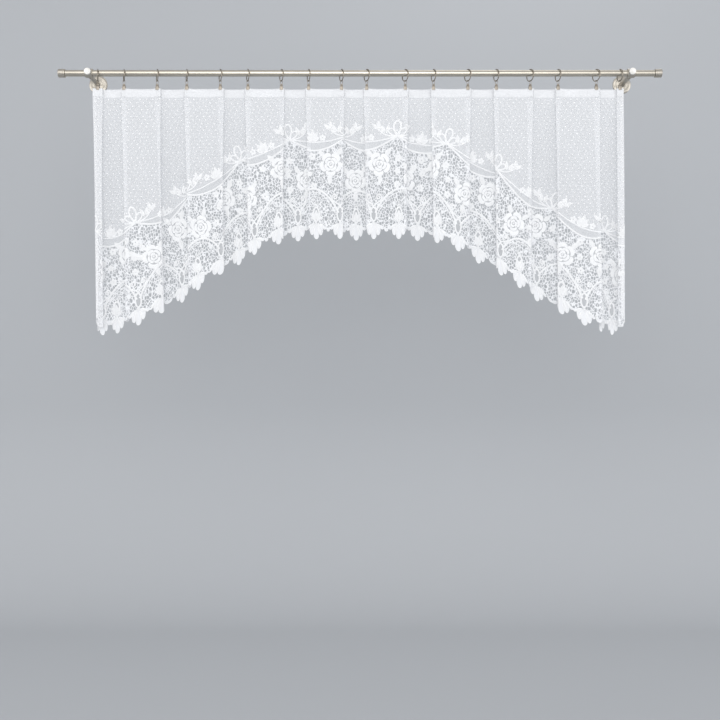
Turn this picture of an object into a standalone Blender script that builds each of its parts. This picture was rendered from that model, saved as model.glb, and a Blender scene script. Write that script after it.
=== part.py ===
"""Net curtain on its rod: a lace valance in box pleats, clipped to the rings of a metal rod.

Metres, +Z up. X runs along the rod, to the right as seen from the room, and +Y points into
the wall. The origin lies on the wall, midway between the two wall plates, at the height of
the rod's axis.

The net is drawn flat, in the plane of its cut: u along its width, and v down from its top
edge. Its arched hem and the largest gaps of the lace are cut there. Then it is creased along
the folds and hung by one function, which places any point of the flat cut on the pleats.
"""

import bisect
import math
from collections import namedtuple

import bmesh
import bpy
from mathutils import Matrix, Vector

# Two pieces that touch are drawn this far apart
SEAT_GAP = 0.0003

# Rod and what carries it
ROD_RADIUS = 0.0095
ROD_HALF_LENGTH = 0.8777
ROD_Y = -0.100
ROD_SEGMENTS = 32
CAP_RADIUS = 0.0125
CAP_LENGTH = 0.020
CAP_CHAMFER = 0.0009
CAP_GROOVE_AT = 0.0044
CAP_GROOVE_DEPTH = 0.0007
CAP_SEGMENTS = 20
BRACKET_X = 0.8065
BRACKET_SEGMENTS = 24
ARM_DROP = 0.006
ARM_RADIUS = 0.0068
ARM_SEGMENTS = 12
ARM_SEAT = 0.002
COLLAR_RADIUS = 0.0132
COLLAR_LENGTH = 0.022
PLATE_RADIUS = 0.028
PLATE_RIM = 0.004
PLATE_DOME = 0.010
SCREW_HEAD_RADIUS = 0.010
SCREW_HEAD_LENGTH = 0.007
SCREW_HEAD_ROUND = 0.0022
SCREW_NECK_RADIUS = 0.004
SCREW_NECK_LENGTH = 0.0035
SCREW_SEGMENTS = 16
SHARP_ANGLE = math.radians(40)

# Rings and clips: a ring hangs on the rod's top, and its sides are flat between its corners
RING_RADIUS = 0.0172
RING_WIRE = 0.0014
RING_SEGMENTS = 16
WIRE_SEGMENTS = 5
RING_FLAT = RING_RADIUS * math.cos(math.pi / RING_SEGMENTS)
RING_DROP = RING_FLAT - RING_WIRE - ROD_RADIUS - SEAT_GAP
EYE_HALF_WIDTH = 0.0034
EYE_HALF_FOOT = 0.0020
EYE_ARCH_STEPS = 4
EYE_WIRE = 0.00075
EYE_BOTTOM = -0.0338
CLIP_TOP = -0.0330
CLIP_SHOULDER = -0.0425
CLIP_BOTTOM = -0.0502
CLIP_PLATE = 0.0012
CLIP_HALF_WIDTH = 0.0050
CLIP_NECK_HALF_WIDTH = 0.0028
CLIP_NECK_DEPTH = 0.0022

# The net and its tape: the net's top edge is level, but for its dips between clips
NET_THICKNESS = 0.0010
TAPE_THICKNESS = 0.0010
TAPE_TOP = 0.0015
TAPE_BOTTOM = 0.0240
NET_TOP = -0.0450
SAG = 0.0026

# The pleats: three layers, a little apart, that open below the tape
TAPED_TURN = 0.0040
PLAIN_TURN = 0.0016
TAPED_TURN_OPEN = 0.0055
PLAIN_TURN_OPEN = 0.0045
HEM_OVERLAP = 0.0065
EDGE_OVERLAP = 0.0200
BULGE_AT = (0.28, 0.72)

# The hem's arch, measured down from the top edge to the tips of the scallops
ARCH_DROP = 0.448
ARCH_RISE = 0.285
ARCH_INNER = 0.150
ARCH_OUTER = 0.790
SIDE_DROP = ARCH_DROP + ARCH_RISE

# Scallops and gaps of the lace
SCALLOP_HALF = 0.033
SCALLOP_HEIGHT = 0.042
FILLER_LEAST = 0.012
ROSE_PITCH = 0.116
ROSE_LOW = 0.178
ROSE_HIGH = 0.222
GAP_LENGTH = 0.0080
GAP_WIDTH = 0.0056
GAP_CORNERS = 6
GAP_SPACING = 0.0105
FOLD_MARGIN = 0.0050
FLAT_LIMIT = math.radians(0.5)
WELD = 0.0004
SAME_POINT = 1e-6

# x: a fold's middle at the heading. overlap: the width of its three layers there. lean: how
# far it drifts sideways by the hem. depth: from the front panels to the back ones by the hem.
# swell: how far the panel to its right bows. turn: its ring's turn on the rod, in degrees.
# tips: where the scallops' tips lie across that panel, 0 at this fold and 1 at the next.
Fold = namedtuple("Fold", "x overlap lean depth swell turn tips")
FOLDS = (
    Fold(-0.781, 0.0310, 0.008, 0.018, 0.003, 14, (0.05, 0.57)),
    Fold(-0.703, 0.0160, 0.012, 0.020, 0.006, 18, (0.34, 1.00)),
    Fold(-0.604, 0.0210, 0.020, 0.022, 0.003, 20, (0.68,)),
    Fold(-0.516, 0.0170, 0.013, 0.018, 0.007, 17, (0.27, 0.96)),
    Fold(-0.416, 0.0220, 0.011, 0.021, 0.004, 21, (0.59,)),
    Fold(-0.334, 0.0185, 0.007, 0.019, 0.006, 19, (0.18, 0.90)),
    Fold(-0.234, 0.0170, 0.004, 0.020, 0.003, 22, (0.57,)),
    Fold(-0.153, 0.0185, 0.005, 0.018, 0.007, 17, (0.22, 0.94)),
    Fold(-0.055, 0.0175, 0.002, 0.021, 0.004, 20, (0.56,)),
    Fold(0.020, 0.0190, 0.003, 0.019, 0.008, 26, (0.17, 0.82)),
    Fold(0.135, 0.0185, 0.000, 0.022, 0.003, 28, (0.43,)),
    Fold(0.219, 0.0175, 0.004, 0.018, 0.007, 19, (0.07, 0.68)),
    Fold(0.321, 0.0185, 0.003, 0.020, 0.004, 27, (0.36,)),
    Fold(0.406, 0.0185, 0.004, 0.021, 0.006, 18, (0.09, 0.65)),
    Fold(0.507, 0.0200, -0.002, 0.019, 0.003, 26, (0.27,)),
    Fold(0.590, 0.0170, 0.001, 0.020, 0.008, 17, (0.05, 0.58)),
    Fold(0.704, 0.0200, 0.014, 0.022, 0.004, 25, (0.06, 0.60)),
    Fold(0.774, 0.0215, 0.003, 0.018, 0.003, 13, ()),
)

# How far the pleats have opened at each drop below the top edge
Level = namedtuple("Level", "drop opening")
LEVELS = (
    Level(0.000, 0.00),
    Level(0.028, 0.00),
    Level(0.120, 0.45),
    Level(0.290, 0.90),
    Level(0.800, 1.00),
)

# One half of a scallop, from its tip outwards: shares of its half width and of its height.
# Each corner between two lobes is followed by the round of the next lobe.
Outline = namedtuple("Outline", "across height")
FAN_HALF = (
    Outline(0.17, 0.06),
    Outline(0.27, 0.38),
    Outline(0.38, 0.28),
    Outline(0.58, 0.40),
    Outline(0.65, 0.68),
    Outline(0.86, 0.70),
    Outline(1.00, 1.00),
)
TAB_HALF = (Outline(0.70, 0.12), Outline(1.00, 1.00))
TAB_RISE = 0.45

# Gaps about a rose: the angle below the level through its middle, and the ring they lie on
Gap = namedtuple("Gap", "angle ring")
GAPS = tuple(
    Gap(angle, ring)
    for ring, angles in ((0.041, (-8, 22, 52, 128, 158, 188)), (0.053, (38, 66, 114, 142)))
    for angle in angles
)

# A column is a crease of the flat net, or a place where a panel bows between two creases
Column = namedtuple("Column", "fold role share")
EDGE, ARRIVE, FAR_TURN, NEAR_TURN, LEAVE, BOW = range(6)


def mix(low, high, share):
    """The value a share of the way from low to high."""
    return low + (high - low) * share


def smoothstep(share):
    """An even S-curve from 0 to 1."""
    share = min(max(share, 0.0), 1.0)
    return share * share * (3.0 - 2.0 * share)


def opening_at(drop):
    """How far the pleats have opened at this drop below the top edge."""
    for above, below in zip(LEVELS, LEVELS[1:]):
        if drop <= below.drop:
            share = (drop - above.drop) / (below.drop - above.drop)
            return mix(above.opening, below.opening, share)
    return LEVELS[-1].opening


def hem_overlap(index):
    """The width of a fold's three layers by the hem: the two side edges stay wider."""
    return EDGE_OVERLAP if index in (0, len(FOLDS) - 1) else HEM_OVERLAP


def arrives_in_front(index):
    """Whether the panel that reaches this fold from the left is a front one."""
    return index % 2 == 0


def list_columns():
    """The columns of the flat net, from its left edge to its right one."""
    columns = [Column(0, EDGE, 0.0)]
    last = len(FOLDS) - 1
    for index in range(len(FOLDS)):
        columns += [Column(index, role, 0.0) for role in (ARRIVE, FAR_TURN, NEAR_TURN, LEAVE)]
        if index < last:
            columns += [Column(index, BOW, share) for share in BULGE_AT]
    columns.append(Column(last, EDGE, 1.0))
    return columns


def crease_point(index, role, drop):
    """Where a crease of a fold passes this drop, as (x, y)."""
    fold = FOLDS[index]
    opening = opening_at(drop)
    middle = fold.x + fold.lean * drop / SIDE_DROP
    half_overlap = mix(fold.overlap, hem_overlap(index), opening) / 2
    half_depth = mix(TAPED_TURN + PLAIN_TURN, fold.depth, opening) / 2
    front, back = ROD_Y - half_depth, ROD_Y + half_depth
    behind_front = front + mix(TAPED_TURN, TAPED_TURN_OPEN, opening)
    before_back = back - mix(PLAIN_TURN, PLAIN_TURN_OPEN, opening)
    if arrives_in_front(index):
        depths = {ARRIVE: front, FAR_TURN: behind_front, NEAR_TURN: before_back, LEAVE: back}
    else:
        depths = {ARRIVE: back, FAR_TURN: before_back, NEAR_TURN: behind_front, LEAVE: front}
    side = 1 if role in (ARRIVE, FAR_TURN) else -1
    return Vector((middle + side * half_overlap, depths[role]))


def column_point(column, drop):
    """Where a column passes this drop, as (x, y)."""
    if column.role == EDGE:
        at_left = column.share == 0.0
        mirrored = ARRIVE if at_left else LEAVE
        end = LEAVE if at_left else ARRIVE
        across = crease_point(column.fold, end, drop).x
        return Vector((across, crease_point(column.fold, mirrored, drop).y))
    if column.role == BOW:
        start = crease_point(column.fold, LEAVE, drop)
        stop = crease_point(column.fold + 1, ARRIVE, drop)
        point = start.lerp(stop, column.share)
        outwards = 1 if arrives_in_front(column.fold) else -1
        point.y += outwards * FOLDS[column.fold].swell * opening_at(drop)
        return point
    return crease_point(column.fold, column.role, drop)


COLUMNS = list_columns()


def measure_columns():
    """Each column's u: the length of cloth from the left edge, along the heading."""
    widths = [0.0]
    for before, after in zip(COLUMNS, COLUMNS[1:]):
        step = (column_point(after, 0.0) - column_point(before, 0.0)).length
        widths.append(widths[-1] + step)
    return widths


COLUMN_U = measure_columns()
NET_WIDTH = COLUMN_U[-1]


def cell_of(u):
    """The column to the left of u, and the share of the way to the next one."""
    index = bisect.bisect_right(COLUMN_U, u) - 1
    index = min(max(index, 0), len(COLUMNS) - 2)
    share = (u - COLUMN_U[index]) / (COLUMN_U[index + 1] - COLUMN_U[index])
    return index, min(max(share, 0.0), 1.0)


def sag_of(column):
    """How far the heading dips at a column: only between two clips."""
    return SAG if column.role == BOW else 0.0


def hang(u, v):
    """Where a point of the flat net hangs."""
    index, share = cell_of(u)
    before, after = COLUMNS[index], COLUMNS[index + 1]
    point = column_point(before, v).lerp(column_point(after, v), share)
    return Vector((point.x, point.y, NET_TOP - v - mix(sag_of(before), sag_of(after), share)))


def hang_tape(index, v):
    """Where the tape's middle hangs at a column: behind the net, round the same folds."""
    stand_off = NET_THICKNESS / 2 + SEAT_GAP + TAPE_THICKNESS / 2
    here = column_point(COLUMNS[index], v)
    normals = []
    for first, second in ((index - 1, index), (index, index + 1)):
        if 0 <= first and second < len(COLUMNS):
            step = column_point(COLUMNS[second], v) - column_point(COLUMNS[first], v)
            normals.append(Vector((-step.y, step.x)).normalized())
    corner = normals[0] + normals[-1]
    here += corner * (stand_off / (1.0 + normals[0].dot(normals[-1])))
    return Vector((here.x, here.y, NET_TOP - v - sag_of(COLUMNS[index])))


def tip_drop(u):
    """How far below the top edge the scallops' tips lie at u."""
    across = abs(hang(u, ARCH_DROP).x)
    return ARCH_DROP + ARCH_RISE * smoothstep((across - ARCH_INNER) / (ARCH_OUTER - ARCH_INNER))


def crease_u(index, role):
    """The u of a fold's crease."""
    return COLUMN_U[COLUMNS.index(Column(index, role, 0.0))]


def scallop_tips():
    """The u of each scallop that shows, from left to right."""
    tips = []
    for index, fold in enumerate(FOLDS[:-1]):
        start, stop = crease_u(index, LEAVE), crease_u(index + 1, ARRIVE)
        before, after = hem_overlap(index) / 2, hem_overlap(index + 1) / 2
        across = FOLDS[index + 1].x - fold.x
        for tip in fold.tips:
            share = (tip * across + before) / (across + before + after)
            tips.append(mix(start, stop, share))
    return tips


def scallop(start, tip, stop, half, rise=0.0):
    """A scallop from start to stop as (u, height above the tips), without its last corner."""
    left = [(mix(tip, start, across), height) for across, height in half[::-1]]
    right = [(mix(tip, stop, across), height) for across, height in half[:-1]]
    outline = left + [(tip, 0.0)] + right
    return [(u, SCALLOP_HEIGHT * mix(rise, 1.0, height)) for u, height in outline]


def hem_outline():
    """The hem from left to right, as (u, v): a fan at each tip, and a tab inside each fold."""
    outline = []
    reached = 0.0
    tips = scallop_tips()
    for tip, after in zip(tips, tips[1:] + [NET_WIDTH + SCALLOP_HALF]):
        start = max(tip - SCALLOP_HALF, reached)
        if start - reached > FILLER_LEAST:
            outline += scallop(reached, (reached + start) / 2, start, TAB_HALF, TAB_RISE)
        else:
            start = reached
        reached = min(tip + SCALLOP_HALF, (tip + after) / 2)
        outline += scallop(start, tip, reached, FAN_HALF)
    outline += scallop(reached, (reached + NET_WIDTH) / 2, NET_WIDTH, TAB_HALF, TAB_RISE)
    outline.append((NET_WIDTH, SCALLOP_HEIGHT))
    return [(u, tip_drop(u) - height) for u, height in outline]


def clear_of_folds(u, reach):
    """Whether a gap of this reach lies on one panel, clear of the folded layers."""
    for index in range(len(FOLDS)):
        if crease_u(index, ARRIVE) - reach < u < crease_u(index, LEAVE) + reach:
            return False
    return reach + FOLD_MARGIN < u < NET_WIDTH - reach - FOLD_MARGIN


def lace_gaps():
    """The largest gaps of the lace, as (u, v, angle): pockets beside and below each rose."""
    gaps = []
    count = round(NET_WIDTH / ROSE_PITCH)
    pitch = NET_WIDTH / count
    for number in range(count):
        centre = pitch * (number + 0.5)
        height = ROSE_HIGH if number % 2 else ROSE_LOW
        for gap in GAPS:
            angle = math.radians(gap.angle)
            u = centre + gap.ring * math.cos(angle)
            if not 0.0 < u < NET_WIDTH:
                continue
            v = tip_drop(u) - height + gap.ring * math.sin(angle)
            apart = all(math.hypot(u - x, v - y) > GAP_SPACING for x, y, _ in gaps)
            if apart and clear_of_folds(u, GAP_LENGTH / 2 + FOLD_MARGIN):
                gaps.append((u, v, angle))
    return gaps


def gap_outline(u, v, angle):
    """A gap's outline: an oval of a few corners, its long way out from the rose."""
    points = []
    for step in range(GAP_CORNERS):
        turn = math.tau * step / GAP_CORNERS
        along, across = math.cos(turn) * GAP_LENGTH / 2, math.sin(turn) * GAP_WIDTH / 2
        points.append(
            (
                u + along * math.cos(angle) - across * math.sin(angle),
                v + along * math.sin(angle) + across * math.cos(angle),
            )
        )
    return points


def clear_scene():
    """Removes what the scene holds."""
    for old in list(bpy.data.objects):
        bpy.data.objects.remove(old)


def finish(name, colour, roughness, metallic=0.0):
    """A plain finish."""
    material = bpy.data.materials.new(name)
    material.use_nodes = True
    shader = material.node_tree.nodes["Principled BSDF"]
    shader.inputs["Base Color"].default_value = (*colour, 1.0)
    shader.inputs["Roughness"].default_value = roughness
    shader.inputs["Metallic"].default_value = metallic
    return material


def add_object(name, mesh, material, collection):
    """A new object of this mesh."""
    made = bpy.data.objects.new(name, mesh)
    if material and not mesh.materials:
        mesh.materials.append(material)
    collection.objects.link(made)
    return made


def mesh_from(bm, name):
    """A mesh of this bmesh, which is freed."""
    mesh = bpy.data.meshes.new(name)
    bm.to_mesh(mesh)
    bm.free()
    return mesh


def smoothed(mesh):
    """Shades a round mesh smooth, but for its sharp edges."""
    mesh.shade_smooth()
    mesh.set_sharp_from_angle(angle=SHARP_ANGLE)
    return mesh


def realised(made, name):
    """The mesh of an object as its modifiers make it; the object is removed."""
    graph = bpy.context.evaluated_depsgraph_get()
    mesh = bpy.data.meshes.new_from_object(made.evaluated_get(graph))
    mesh.name = name
    mesh.transform(made.matrix_world)
    bpy.data.objects.remove(made)
    return mesh


def flat_net(helpers):
    """The net as it is cut: one flat face with its hem and its gaps, in the plane of u and -v."""
    outline = bpy.data.curves.new("net_cut", "CURVE")
    outline.dimensions = "2D"
    outline.fill_mode = "BOTH"
    hem = hem_outline()
    loops = [[(0.0, 0.0)] + hem + [(NET_WIDTH, 0.0)]]
    loops += [gap_outline(*gap) for gap in lace_gaps()]
    for loop in loops:
        spline = outline.splines.new("POLY")
        spline.points.add(len(loop) - 1)
        for point, (u, v) in zip(spline.points, loop):
            point.co = (u, -v, 0.0, 1.0)
        spline.use_cyclic_u = True
    cut = bpy.data.objects.new("net_cut", outline)
    helpers.objects.link(cut)
    bpy.context.view_layer.update()
    return realised(cut, "net_cut")


def crease(bm, point, normal):
    """Cuts a straight crease across the flat mesh and marks it, so that it stays."""
    geometry = bm.verts[:] + bm.edges[:] + bm.faces[:]
    cut = bmesh.ops.bisect_plane(bm, geom=geometry, dist=SAME_POINT, plane_co=point, plane_no=normal)
    for element in cut["geom_cut"]:
        if isinstance(element, bmesh.types.BMEdge):
            element.seam = True


def make_net(collection, helpers, material):
    """The lace net: cut flat, creased, hung on its pleats and given its thickness."""
    cut = flat_net(helpers)
    bm = bmesh.new()
    bm.from_mesh(cut)
    bpy.data.meshes.remove(cut)
    bmesh.ops.remove_doubles(bm, verts=bm.verts, dist=SAME_POINT)
    for u in COLUMN_U[1:-1]:
        crease(bm, (u, 0, 0), (1, 0, 0))
    for level in LEVELS[1:-1]:
        crease(bm, (0, -level.drop, 0), (0, 1, 0))
    bmesh.ops.remove_doubles(bm, verts=bm.verts, dist=WELD)
    bmesh.ops.dissolve_limit(
        bm,
        angle_limit=FLAT_LIMIT,
        verts=bm.verts[:],
        edges=bm.edges[:],
        use_dissolve_boundaries=False,
        delimit={"SEAM"},
    )
    bmesh.ops.triangulate(bm, faces=bm.faces[:])
    for vert in bm.verts:
        vert.co = hang(vert.co.x, -vert.co.y)
    bmesh.ops.recalc_face_normals(bm, faces=bm.faces[:])
    for edge in bm.edges:
        edge.seam = False
    net = add_object("net_curtain", mesh_from(bm, "net_curtain"), material, collection)
    thicken(net, NET_THICKNESS)


def thicken(made, thickness):
    """Gives an open sheet its thickness, half to each side."""
    solid = made.modifiers.new("thickness", "SOLIDIFY")
    solid.thickness = thickness
    solid.offset = 0.0
    solid.use_quality_normals = True


def make_tape(collection, material):
    """The heading tape: one strip behind the net's top edge, round every fold."""
    bm = bmesh.new()
    size = len(COLUMNS) - 1
    bmesh.ops.create_grid(bm, x_segments=size, y_segments=1, size=0.5)
    for vert in bm.verts:
        index = round((vert.co.x + 0.5) * size)
        vert.co = hang_tape(index, TAPE_TOP if vert.co.y > 0 else TAPE_BOTTOM)
    tape = add_object("heading_tape", mesh_from(bm, "heading_tape"), material, collection)
    thicken(tape, TAPE_THICKNESS)


def turned(name, profile, segments, helpers):
    """A solid turned about its local Z from (radius, height) points, top to bottom."""
    bm = bmesh.new()
    verts = [bm.verts.new((radius, 0.0, height)) for radius, height in profile]
    for first, second in zip(verts, verts[1:]):
        bm.edges.new((first, second))
    made = bpy.data.objects.new(name, mesh_from(bm, name))
    helpers.objects.link(made)
    screw = made.modifiers.new("turn", "SCREW")
    screw.steps = screw.render_steps = segments
    screw.use_merge_vertices = True
    screw.merge_threshold = SAME_POINT
    screw.use_smooth_shade = False
    bpy.context.view_layer.update()
    return realised(made, name)


def make_rod(collection, helpers, material):
    """The rod and its two end caps."""
    mesh = cylinder("rod", ROD_RADIUS, 2 * ROD_HALF_LENGTH, ROD_SEGMENTS)
    rod = add_object("rod", smoothed(mesh), material, collection)
    rod.location.y = ROD_Y
    rod.rotation_euler.y = math.pi / 2
    profile = (
        (0.0, CAP_LENGTH),
        (CAP_RADIUS - CAP_CHAMFER, CAP_LENGTH),
        (CAP_RADIUS, CAP_LENGTH - CAP_CHAMFER),
        (CAP_RADIUS, CAP_GROOVE_AT + CAP_GROOVE_DEPTH),
        (CAP_RADIUS - CAP_GROOVE_DEPTH, CAP_GROOVE_AT),
        (CAP_RADIUS, CAP_GROOVE_AT - CAP_GROOVE_DEPTH),
        (CAP_RADIUS, 0.0),
        (0.0, 0.0),
    )
    mesh = smoothed(turned("end_cap", profile, CAP_SEGMENTS, helpers))
    for side, name in ((-1, "end_cap_left"), (1, "end_cap_right")):
        cap = add_object(name, mesh, material, collection)
        cap.location = (side * (ROD_HALF_LENGTH + SEAT_GAP), ROD_Y, 0.0)
        cap.rotation_euler.y = side * math.pi / 2


def cylinder(name, radius, length, segments):
    """A closed cylinder on its own Z axis, about its middle."""
    bm = bmesh.new()
    bmesh.ops.create_cone(
        bm, cap_ends=True, segments=segments, radius1=radius, radius2=radius, depth=length
    )
    return mesh_from(bm, name)


def combined(name, body, others, helpers):
    """One mesh of a body and its Boolean partners, given as (operation, mesh) pairs."""
    made = bpy.data.objects.new(name, body)
    helpers.objects.link(made)
    partners = []
    for operation, mesh in others:
        partner = bpy.data.objects.new(mesh.name, mesh)
        helpers.objects.link(partner)
        partner.hide_render = True
        partner.display_type = "WIRE"
        partners.append(partner)
        join = made.modifiers.new(mesh.name, "BOOLEAN")
        join.operation = operation
        join.object = partner
    bpy.context.view_layer.update()
    mesh = smoothed(realised(made, name))
    for partner in partners:
        bpy.data.objects.remove(partner)
    return mesh


def bracket_mesh(helpers):
    """A bracket about the wall below the rod's axis: wall plate, arm and collar in one casting."""
    profile = (
        (0.0, PLATE_DOME),
        (ARM_RADIUS + ARM_SEAT, PLATE_DOME),
        (PLATE_RADIUS * 0.55, PLATE_DOME * 0.72),
        (PLATE_RADIUS * 0.90, PLATE_DOME * 0.52),
        (PLATE_RADIUS, PLATE_RIM),
        (PLATE_RADIUS, 0.0),
        (0.0, 0.0),
    )
    towards_room = Matrix.Rotation(math.pi / 2, 4, "X")
    plate = turned("plate", profile, BRACKET_SEGMENTS, helpers)
    plate.transform(Matrix.Translation((0.0, 0.0, -ARM_DROP)) @ towards_room)
    arm_start = -PLATE_DOME / 2
    arm = cylinder("arm", ARM_RADIUS, arm_start - ROD_Y, ARM_SEGMENTS)
    arm_middle = (0.0, (arm_start + ROD_Y) / 2, -ARM_DROP)
    arm.transform(Matrix.Translation(arm_middle) @ towards_room)
    along_rod = Matrix.Translation((0.0, ROD_Y, 0.0)) @ Matrix.Rotation(math.pi / 2, 4, "Y")
    collar = cylinder("collar", COLLAR_RADIUS, COLLAR_LENGTH, BRACKET_SEGMENTS)
    bore = cylinder("bore", ROD_RADIUS + SEAT_GAP, COLLAR_LENGTH * 2, BRACKET_SEGMENTS)
    for round_piece in (collar, bore):
        round_piece.transform(along_rod)
    others = (("UNION", arm), ("UNION", collar), ("DIFFERENCE", bore))
    return combined("bracket", plate, others, helpers)


def set_screw_mesh(helpers):
    """A set screw with a domed round head, standing on its neck."""
    top = SCREW_NECK_LENGTH + SCREW_HEAD_LENGTH
    profile = (
        (0.0, top),
        (SCREW_HEAD_RADIUS - SCREW_HEAD_ROUND, top - SCREW_HEAD_ROUND * 0.2),
        (SCREW_HEAD_RADIUS, top - SCREW_HEAD_ROUND),
        (SCREW_HEAD_RADIUS, SCREW_NECK_LENGTH),
        (SCREW_NECK_RADIUS, SCREW_NECK_LENGTH - SCREW_HEAD_ROUND * 0.2),
        (SCREW_NECK_RADIUS, 0.0),
        (0.0, 0.0),
    )
    return smoothed(turned("set_screw", profile, SCREW_SEGMENTS, helpers))


def make_brackets(collection, helpers, material, pale):
    """The two brackets on the wall and the set screws at the front of their collars."""
    bracket, screw = bracket_mesh(helpers), set_screw_mesh(helpers)
    for side, name in ((-1, "left"), (1, "right")):
        made = add_object("bracket_" + name, bracket, material, collection)
        made.location.x = side * BRACKET_X
        made = add_object("set_screw_" + name, screw, pale, collection)
        made.location = (side * BRACKET_X, ROD_Y - COLLAR_RADIUS - SEAT_GAP, 0.0)
        made.rotation_euler.x = math.pi / 2


def make_rings(collection, material):
    """A ring for each fold, resting on the rod and turned on it."""
    bpy.ops.mesh.primitive_torus_add(
        major_radius=RING_RADIUS,
        minor_radius=RING_WIRE,
        major_segments=RING_SEGMENTS,
        minor_segments=WIRE_SEGMENTS,
    )
    first = bpy.context.object
    mesh = first.data
    bpy.data.objects.remove(first)
    mesh.name = "ring"
    mesh.transform(Matrix.Rotation(math.pi / 2, 4, "Y"))
    mesh.shade_smooth()
    for number, fold in enumerate(FOLDS, start=1):
        ring = add_object(f"ring_{number:02d}", mesh, material, collection)
        ring.location = (fold.x, ROD_Y, -RING_DROP)
        ring.rotation_euler.z = math.radians(fold.turn)


def clip_body():
    """The clip's two plates and its hinge: its side outline, widening towards the grip."""
    front = -(TAPED_TURN + PLAIN_TURN) / 2 - NET_THICKNESS / 2 - SEAT_GAP
    tape = NET_THICKNESS / 2 + SEAT_GAP + TAPE_THICKNESS + SEAT_GAP
    back = (TAPED_TURN + PLAIN_TURN) / 2 + tape
    middle = (front + back) / 2
    crotch = NET_TOP + 2 * SEAT_GAP
    outline = (
        (front - CLIP_PLATE, CLIP_BOTTOM),
        (front, CLIP_BOTTOM),
        (front, crotch),
        (back, crotch),
        (back, CLIP_BOTTOM),
        (back + CLIP_PLATE, CLIP_BOTTOM),
        (back + CLIP_PLATE, CLIP_SHOULDER),
        (middle / 2 + CLIP_NECK_DEPTH, CLIP_TOP),
        (middle / 2 - CLIP_NECK_DEPTH, CLIP_TOP),
        (front - CLIP_PLATE, CLIP_SHOULDER),
    )
    bm = bmesh.new()
    side = bm.faces.new([bm.verts.new((-CLIP_HALF_WIDTH, y, z)) for y, z in outline])
    grown = bmesh.ops.extrude_face_region(bm, geom=[side])
    moved = [item for item in grown["geom"] if isinstance(item, bmesh.types.BMVert)]
    bmesh.ops.translate(bm, verts=moved, vec=(2 * CLIP_HALF_WIDTH, 0, 0))
    for vert in bm.verts:
        up = (vert.co.z - CLIP_BOTTOM) / (CLIP_TOP - CLIP_BOTTOM)
        vert.co.x *= mix(1.0, CLIP_NECK_HALF_WIDTH / CLIP_HALF_WIDTH, max(up, 0.0))
    bmesh.ops.recalc_face_normals(bm, faces=bm.faces[:])
    return mesh_from(bm, "clip")


def clip_eye(helpers):
    """The clip's wire eye: a slot-shaped loop that hangs on the ring."""
    inner_top = -RING_DROP - RING_RADIUS + RING_WIRE + SEAT_GAP
    arch_centre = inner_top + EYE_WIRE - EYE_HALF_WIDTH
    path = bpy.data.curves.new("eye", "CURVE")
    path.dimensions = "3D"
    path.bevel_depth = EYE_WIRE
    path.bevel_resolution = 0
    spline = path.splines.new("POLY")
    turns = [math.pi * step / EYE_ARCH_STEPS for step in range(EYE_ARCH_STEPS + 1)]
    points = [
        (EYE_HALF_WIDTH * math.cos(turn), arch_centre + EYE_HALF_WIDTH * math.sin(turn))
        for turn in turns
    ]
    points += [(-EYE_HALF_FOOT, EYE_BOTTOM), (EYE_HALF_FOOT, EYE_BOTTOM)]
    spline.points.add(len(points) - 1)
    for point, (x, z) in zip(spline.points, points):
        point.co = (x, 0.0, z, 1.0)
    spline.use_cyclic_u = True
    wire = bpy.data.objects.new("eye", path)
    helpers.objects.link(wire)
    bpy.context.view_layer.update()
    return realised(wire, "eye")


def make_clips(collection, helpers, material):
    """A clip on each fold's top edge, its eye round the ring."""
    mesh = combined("clip", clip_body(), (("UNION", clip_eye(helpers)),), helpers)
    for number, fold in enumerate(FOLDS, start=1):
        clip = add_object(f"clip_{number:02d}", mesh, material, collection)
        clip.location = (fold.x, ROD_Y, 0.0)


def main():
    """Builds the whole curtain on its rod."""
    clear_scene()
    collection = bpy.data.collections.new("net_curtain_on_rod")
    helpers = bpy.data.collections.new("helpers")
    for group in (collection, helpers):
        bpy.context.scene.collection.children.link(group)
    nickel = finish("satin_nickel", (0.62, 0.58, 0.51), 0.32, 1.0)
    pale = finish("pale_nickel", (0.82, 0.79, 0.74), 0.40, 0.6)
    lace = finish("white_lace", (0.93, 0.94, 0.96), 0.85)
    tape = finish("white_tape", (0.95, 0.96, 0.97), 0.80)
    make_rod(collection, helpers, nickel)
    make_brackets(collection, helpers, nickel, pale)
    make_rings(collection, nickel)
    make_clips(collection, helpers, pale)
    make_net(collection, helpers, lace)
    make_tape(collection, tape)


main()
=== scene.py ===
"""Looks of the net curtain on its rod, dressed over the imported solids.

Metres, +Z up: X runs along the rod, +Y points into the wall, and the origin lies on the wall,
midway between the wall plates, at the height of the rod's axis.

Every piece of lace is drawn flat, in the plane of the cut: x is the width of cloth from the
left edge, y is the height above the top edge (so it is negative on the cloth), and z is the
lift off the net towards the room. Pleats then hangs the drawing on its folds.
"""

import logging
import math
import random
from dataclasses import dataclass
from enum import Enum
from typing import Callable, Iterable, Sequence

import bmesh
import bpy
import numpy as np
from mathutils import Matrix, Vector


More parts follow.
